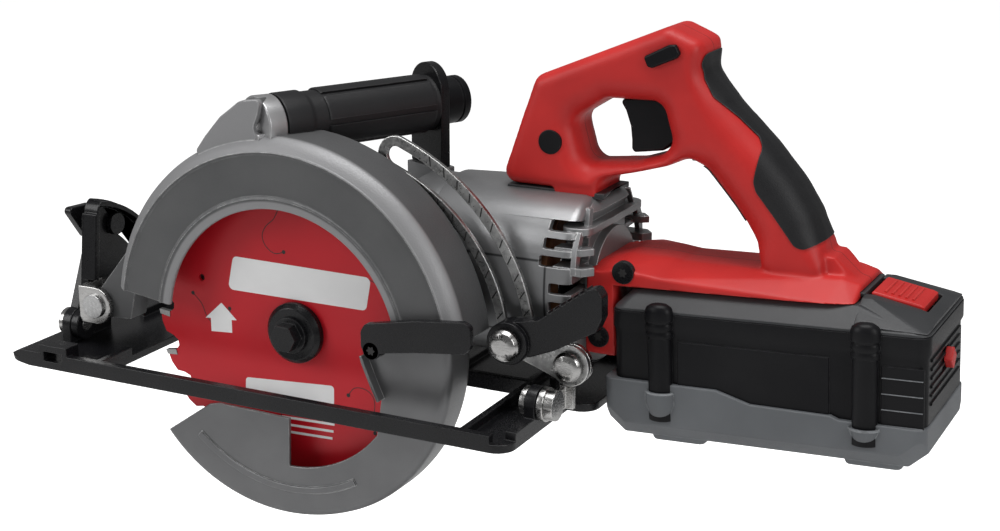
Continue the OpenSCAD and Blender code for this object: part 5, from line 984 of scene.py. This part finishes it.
# %% A tree that spreads copies evenly
SPREAD = bpy.data.node_groups.new("spread evenly", "GeometryNodeTree")
SPREAD.interface.new_socket("Geometry", in_out="OUTPUT", socket_type="NodeSocketGeometry")
for socket, kind in (("Count", "Int"), ("First", "Vector"), ("Step", "Vector"), ("Centre", "Vector"),
                     ("Axis", "Vector"), ("Angle", "Float"), ("Shape", "Object"), ("Material", "Material")):
    SPREAD.interface.new_socket(socket, in_out="INPUT", socket_type="NodeSocket" + kind)
given = wire(SPREAD, "NodeGroupInput").outputs
index = wire(SPREAD, "GeometryNodeInputIndex").outputs[0]
run = calc(SPREAD, "SCALE", given["Step"], index, "VectorMath", "Scale")
place = calc(SPREAD, "ADD", given["First"], run, "VectorMath")
turn = {"Axis": given["Axis"], "Angle": calc(SPREAD, "MULTIPLY", given["Angle"], index)}
spot = wire(SPREAD, "ShaderNodeVectorRotate", {"Vector": place, "Center": given["Centre"], **turn}).outputs[0]
copies = wire(SPREAD, "GeometryNodeInstanceOnPoints", {
    "Points": wire(SPREAD, "GeometryNodePoints", {"Count": given["Count"], "Position": spot}).outputs[0],
    "Instance": wire(SPREAD, "GeometryNodeObjectInfo", {"Object": given["Shape"]}).outputs["Geometry"],
    "Rotation": wire(SPREAD, "FunctionNodeAxisAngleToRotation", turn).outputs[0]})
real = wire(SPREAD, "GeometryNodeRealizeInstances", {0: copies.outputs["Instances"]}).outputs[0]
coated = wire(SPREAD, "GeometryNodeSetMaterial", {"Geometry": real, "Material": given["Material"]}).outputs[0]
wire(SPREAD, "NodeGroupOutput", {"Geometry": coated})


def spread(name, coat, body, count, build, first, step=(0, 0, 0), centre=(0, 0, 0), axis=(0, 0, 1), angle=0.0):
    """Copies of one drawn shape from a first place on, each a step and a turn about an axis further."""
    shape, host = shown("shape", mesh_of("shape", build)), shown("host", bpy.data.meshes.new(name))
    grow = host.modifiers.new("grow", "NODES")
    grow.node_group = SPREAD
    values = {"Count": count, "First": tuple(first), "Step": tuple(step), "Centre": tuple(centre),
              "Axis": tuple(axis), "Angle": math.radians(angle), "Shape": shape, "Material": FINISHES[coat]}
    for item in SPREAD.interface.items_tree:
        if item.in_out == "INPUT":
            grow[item.identifier] = values[item.name]
    mesh = baked(host)
    discard(shape)
    rounded_piece(name, mesh, coat, body, angle=35)


# %% [markdown]
# Six rubber panels stand round the top grip, in the way a moulded sleeve is panelled to keep the hand from
# turning. One panel is a strip swept about the grip's axis.

# %% Panels round the top grip
top_start = on_top(0, 0, 0)


def panel_form(form):
    turned(form, [(14.8, 33), (15.9, 33), (16.5, 34), (16.5, 101.4), (15.9, 102.4), (14.8, 102.4)], 6, 54, 12,
           lambda x, y, z: on_top(x, y, z) - top_start)


spread("top_grip_panels", "soft overmould", "saw_body", 6, panel_form, top_start, centre=top_start,
       axis=(on_top(0, 1, 0) - top_start).normalized(), angle=60)

# %% [markdown]
# A thin blade rings and warps as it heats, so its maker cuts fine curved slots that let the rim expand. Here
# one slot is a ribbon with a round hole at each end, and the tree turns it about the arbor.

# %% Expansion slots and holes of the blade
SLOT_LINE = [(-9, 69), (-12.5, 62), (-18, 57), (-20.5, 51.5), (-18.5, 46), (-13, 42.5), (-7, 44)]
SLOT_HALF = 0.24


def slot_form(form):
    line = [Vector(p) for p in SLOT_LINE]
    smooth = line[:1]
    for p, q, r, s in zip(line[:1] + line, line, line[1:], line[2:] + line[-1:]):
        bend, twist = 2 * p - 5 * q + 4 * r - s, 3 * q - p - 3 * r + s
        smooth += [0.5 * (2 * q + (r - p) * t + bend * t * t + twist * t ** 3) for t in (0.25, 0.5, 0.75, 1)]
    left, right = [], []
    for i, p in enumerate(smooth):
        run = (smooth[min(i + 1, len(smooth) - 1)] - smooth[max(i - 1, 0)]).normalized()
        side = Vector((-run.y, run.x)) * SLOT_HALF
        left.append(p + side)
        right.append(p - side)
    for a, b, c, d in zip(left, left[1:], right, right[1:]):
        add_prism(form, [a, b, d, c], -0.93, 0.93, local)
    for x, z in (SLOT_LINE[0], SLOT_LINE[-1]):
        lathe(form, [(1.15, -0.94), (1.15, 0.94)], along_y(x, z, local), 20)


spread("blade_slots", "dark line", "blade_set", 5, slot_form, ARBOR, centre=ARBOR, axis=(0, 1, 0), angle=72)

# %% [markdown]
# The blade carries print where it faces the user. The words are left off: two bare panels, a plain arrow and
# some plain bars keep the balance of red and white.

# %% Bare print on the blade
INK = (-0.97, -0.88)  # from just above the blade's left face to just below it
PRINTS = (
    rounded([(-44.5, 18.2), (43.9, 18.1), (47.4, 36.7), (-40.2, 37.6)], 3),
    rounded([(-35.6, -44.2), (22.2, -39.8), (22.6, -27.6), (-35, -31.7)], 2),
    [(-57, -8), (-43, -7), (-43, 0.4), (-39.6, 0.8), (-49.4, 9.6), (-60.6, -0.6), (-57, -0.3)])


def print_form(form):
    for outline in PRINTS:
        add_prism(form, outline, *INK)


seat("blade_print", mesh_of("blade print", print_form), "white ink", "blade_set")
spread("blade_print_bars", "white ink", "blade_set", 4, lambda form: add_prism(
    form, [(-17, -0.7), (17, 0.5), (17, 1.9), (-17, 0.7)], *INK, local), at(6, 0, -47), (-0.0008, 0, -0.0042))

# %% [markdown]
# The depth bracket is marked along both rails, so that the depth can be read against the stud. Its slot
# follows the path of the stud, near enough an arc, so the marks are turned about that arc's centre.

# %% Depth marks along the bracket rails
BRACKET_RATIO = 1.68  # how far the bracket swings for each degree of the foot
BRACKET_FACE_Y = 16.6


def stud_path(degrees):
    """Where the stud stands on the bracket at rest, as X + iZ, when the foot has swung by an angle."""
    pivot, stud, pin = (complex(*p) for p in (PIVOT, STUD, PIN))
    foot = cmath.exp(-1j * math.radians(degrees))
    return pin + (stud - pivot - (pin - pivot) * foot) * foot ** -BRACKET_RATIO


first, half_way, last = (stud_path(a) for a in (3, 13.5, 25))
w = (last - first) / (half_way - first)
middle = first + (half_way - first) * (w - abs(w) ** 2) / (2j * w.imag)
sweep = math.degrees(cmath.phase((last - middle) / (first - middle)))
outwards = (first - middle) / abs(first - middle)
lean = outwards * (2 + 1.5j)
wide = 0.35j * lean / abs(lean)
tick = [(p.real, p.imag) for p in (lean + wide, wide - lean, -lean - wide, lean - wide)]
for rail, count, out in (("outer", 11, 7.9), ("inner", 8, -7.9)):
    place = first + outwards * out
    spread("depth_marks_" + rail, "dark line", "bracket_set", count,
           lambda form: add_prism(form, tick, -0.12, 0.3, local), at(place.real, BRACKET_FACE_Y, place.imag),
           centre=at(middle.real, BRACKET_FACE_Y, middle.imag), axis=(0, 1, 0), angle=-sweep / count)

# %% [markdown]
# Ribs under the thumb: on the battery's latch and at its rear end, and bars on its left side. The battery
# sits at a tilt, so the step and the shape are turned with it.

# %% Ribs of the battery
def tilted(x, y, z):
    return BATTERY_TURN.to_3x3() @ local(x, y, z)


for name, coat, body, count, corners, first, step in (
    ("latch_ribs", "red shell", "latch", 5, [
        (x, y, z) for x, z in ((-0.9, -0.3), (0.9, -0.3), (0.45, 0.7), (-0.45, 0.7)) for y in (-11, 11)],
     (132, 0, 13.5), (3.4, 0, -0.74)),
    ("rear_ribs", "black moulding", "battery", 6, [
        (x, y, z) for x, z in ((-0.5, -1), (-0.5, 1), (0.7, 0.5), (0.7, -0.5)) for y in (-30, 30)],
     (159.6, 0, -35), (0, 0, 4.4)),
    ("side_bars", "boot grey", "battery", 4, [
        (x, y, z) for y, z in ((0.4, -0.35), (0.4, 0.35), (-0.5, 0.15), (-0.5, -0.15)) for x in (-10, 10)],
     (148, -39.3, -45), (0, 0, 8)),
):
    spread(name, coat, body, count, lambda form: hull(form, corners, tilted), in_battery(*first), tilted(*step))

# %% [markdown]
# Star-shaped sockets: the two screws of the handle's base and the lever's screw are driven by a six-lobed key.
# One dark star is drawn and spread over the left faces of the heads, which are found on the solids.

# %% Star sockets in the screw heads
HEAD_REACH = 0.016  # points of one head lie closer together than this, in metres


def star_form(form):
    turns = [k * math.pi / 12 for k in range(24)]
    reach = [2.1 + 0.55 * math.cos(6 * t) for t in turns]
    add_prism(form, [(r * math.cos(t), r * math.sin(t)) for r, t in zip(reach, turns)], -0.06, 0.5, local)


for node, body in (("base_screws", "saw_body"), ("lever_screw", "guard_set")):
    points = np.array([v.co[:] for v in frame["nodes"][node].data.vertices])
    rim = points[np.abs(points[:, 1] - points[:, 1].min()) < 1e-5]
    places = []
    while len(rim):
        near = np.hypot(rim[:, 0] - rim[0, 0], rim[:, 2] - rim[0, 2]) < HEAD_REACH
        places.append((rim[near].max(0) + rim[near].min(0)) / 2)
        rim = rim[~near]
    spread("star_sockets_" + node, "dark line", body, len(places), star_form, places[0], places[-1] - places[0])

# %% [markdown]
# ## The studio
# A pale floor, low enough for the foot at its full depth, a wide soft light from above and two large soft
# panels at the sides. The camera stands where the photographer stood: to the left rear of the blade, a
# little above the motor.

# %% Camera, floor and light
FLOOR_Z = -0.22
FLOOR_HALF = 4
scene = bpy.context.scene
camera = shown("camera", bpy.data.cameras.new("camera"))
camera.data.lens = 63
camera.data.sensor_width = 36
camera.location = (0.517, -0.793, 0.3297)
camera.rotation_euler = (math.radians(73.9), 0, math.radians(26.7))
scene.camera = camera

floor_mesh = bpy.data.meshes.new("studio floor")
floor_mesh.from_pydata([(x * FLOOR_HALF, y * FLOOR_HALF, FLOOR_Z) for x, y in ((-1, -1), (1, -1), (1, 1), (-1, 1))],
                       [], [(0, 1, 2, 3)])
floor = shown("studio_floor", floor_mesh)
paper = bpy.data.materials.new("white paper")
paper.use_nodes = True
tree = paper.node_tree
tree.nodes.remove(tree.nodes["Principled BSDF"])
matt = wire(tree, "ShaderNodeBsdfDiffuse", {"Color": (0.9, 0.9, 0.9, 1)}).outputs[0]
dark, glow = (wire(tree, "ShaderNodeEmission", {"Strength": strength}).outputs[0] for strength in (0, 0.8))
ray = wire(tree, "ShaderNodeLightPath").outputs["Is Camera Ray"]
lit = wire(tree, "ShaderNodeMixShader", {0: ray, 1: dark, 2: glow}).outputs[0]
both = wire(tree, "ShaderNodeAddShader", {0: matt, 1: lit}).outputs[0]
tree.links.new(both, tree.nodes["Material Output"].inputs["Surface"])
floor_mesh.materials.append(paper)

world = bpy.data.worlds.new("studio")
scene.world = world
world.use_nodes = True
tree = world.node_tree
sky = tree.nodes["Background"].inputs
sky["Color"].default_value = (1, 1, 1, 1)
ray = wire(tree, "ShaderNodeLightPath").outputs
seen = calc(tree, "MAXIMUM", ray["Is Camera Ray"], ray["Is Transmission Ray"])
tree.links.new(map_range(tree, seen, 0, 1, 0.2, 1.0), sky["Strength"])

for name, place, aim, size, power in (
    ("soft top", (0.1, -0.1, 1.3), (0.05, 0, 0.05), (1.0, 0.7), 15),
    ("left panel", (-0.9, -0.9, 0.7), (0.05, 0, 0.08), (0.6, 0.8), 8),
    ("right panel", (1.3, -0.5, 0.6), (0.15, 0, 0.08), (0.4, 0.8), 6),
):
    light = bpy.data.lights.new(name, "AREA")
    light.shape = "RECTANGLE"
    light.size, light.size_y = size
    light.energy = power
    lamp = shown(name, light)
    lamp.location = place
    lamp.rotation_euler = (Vector(aim) - Vector(place)).to_track_quat("-Z", "Y").to_euler()
scene.view_settings.view_transform = "Standard"
print("studio ready")
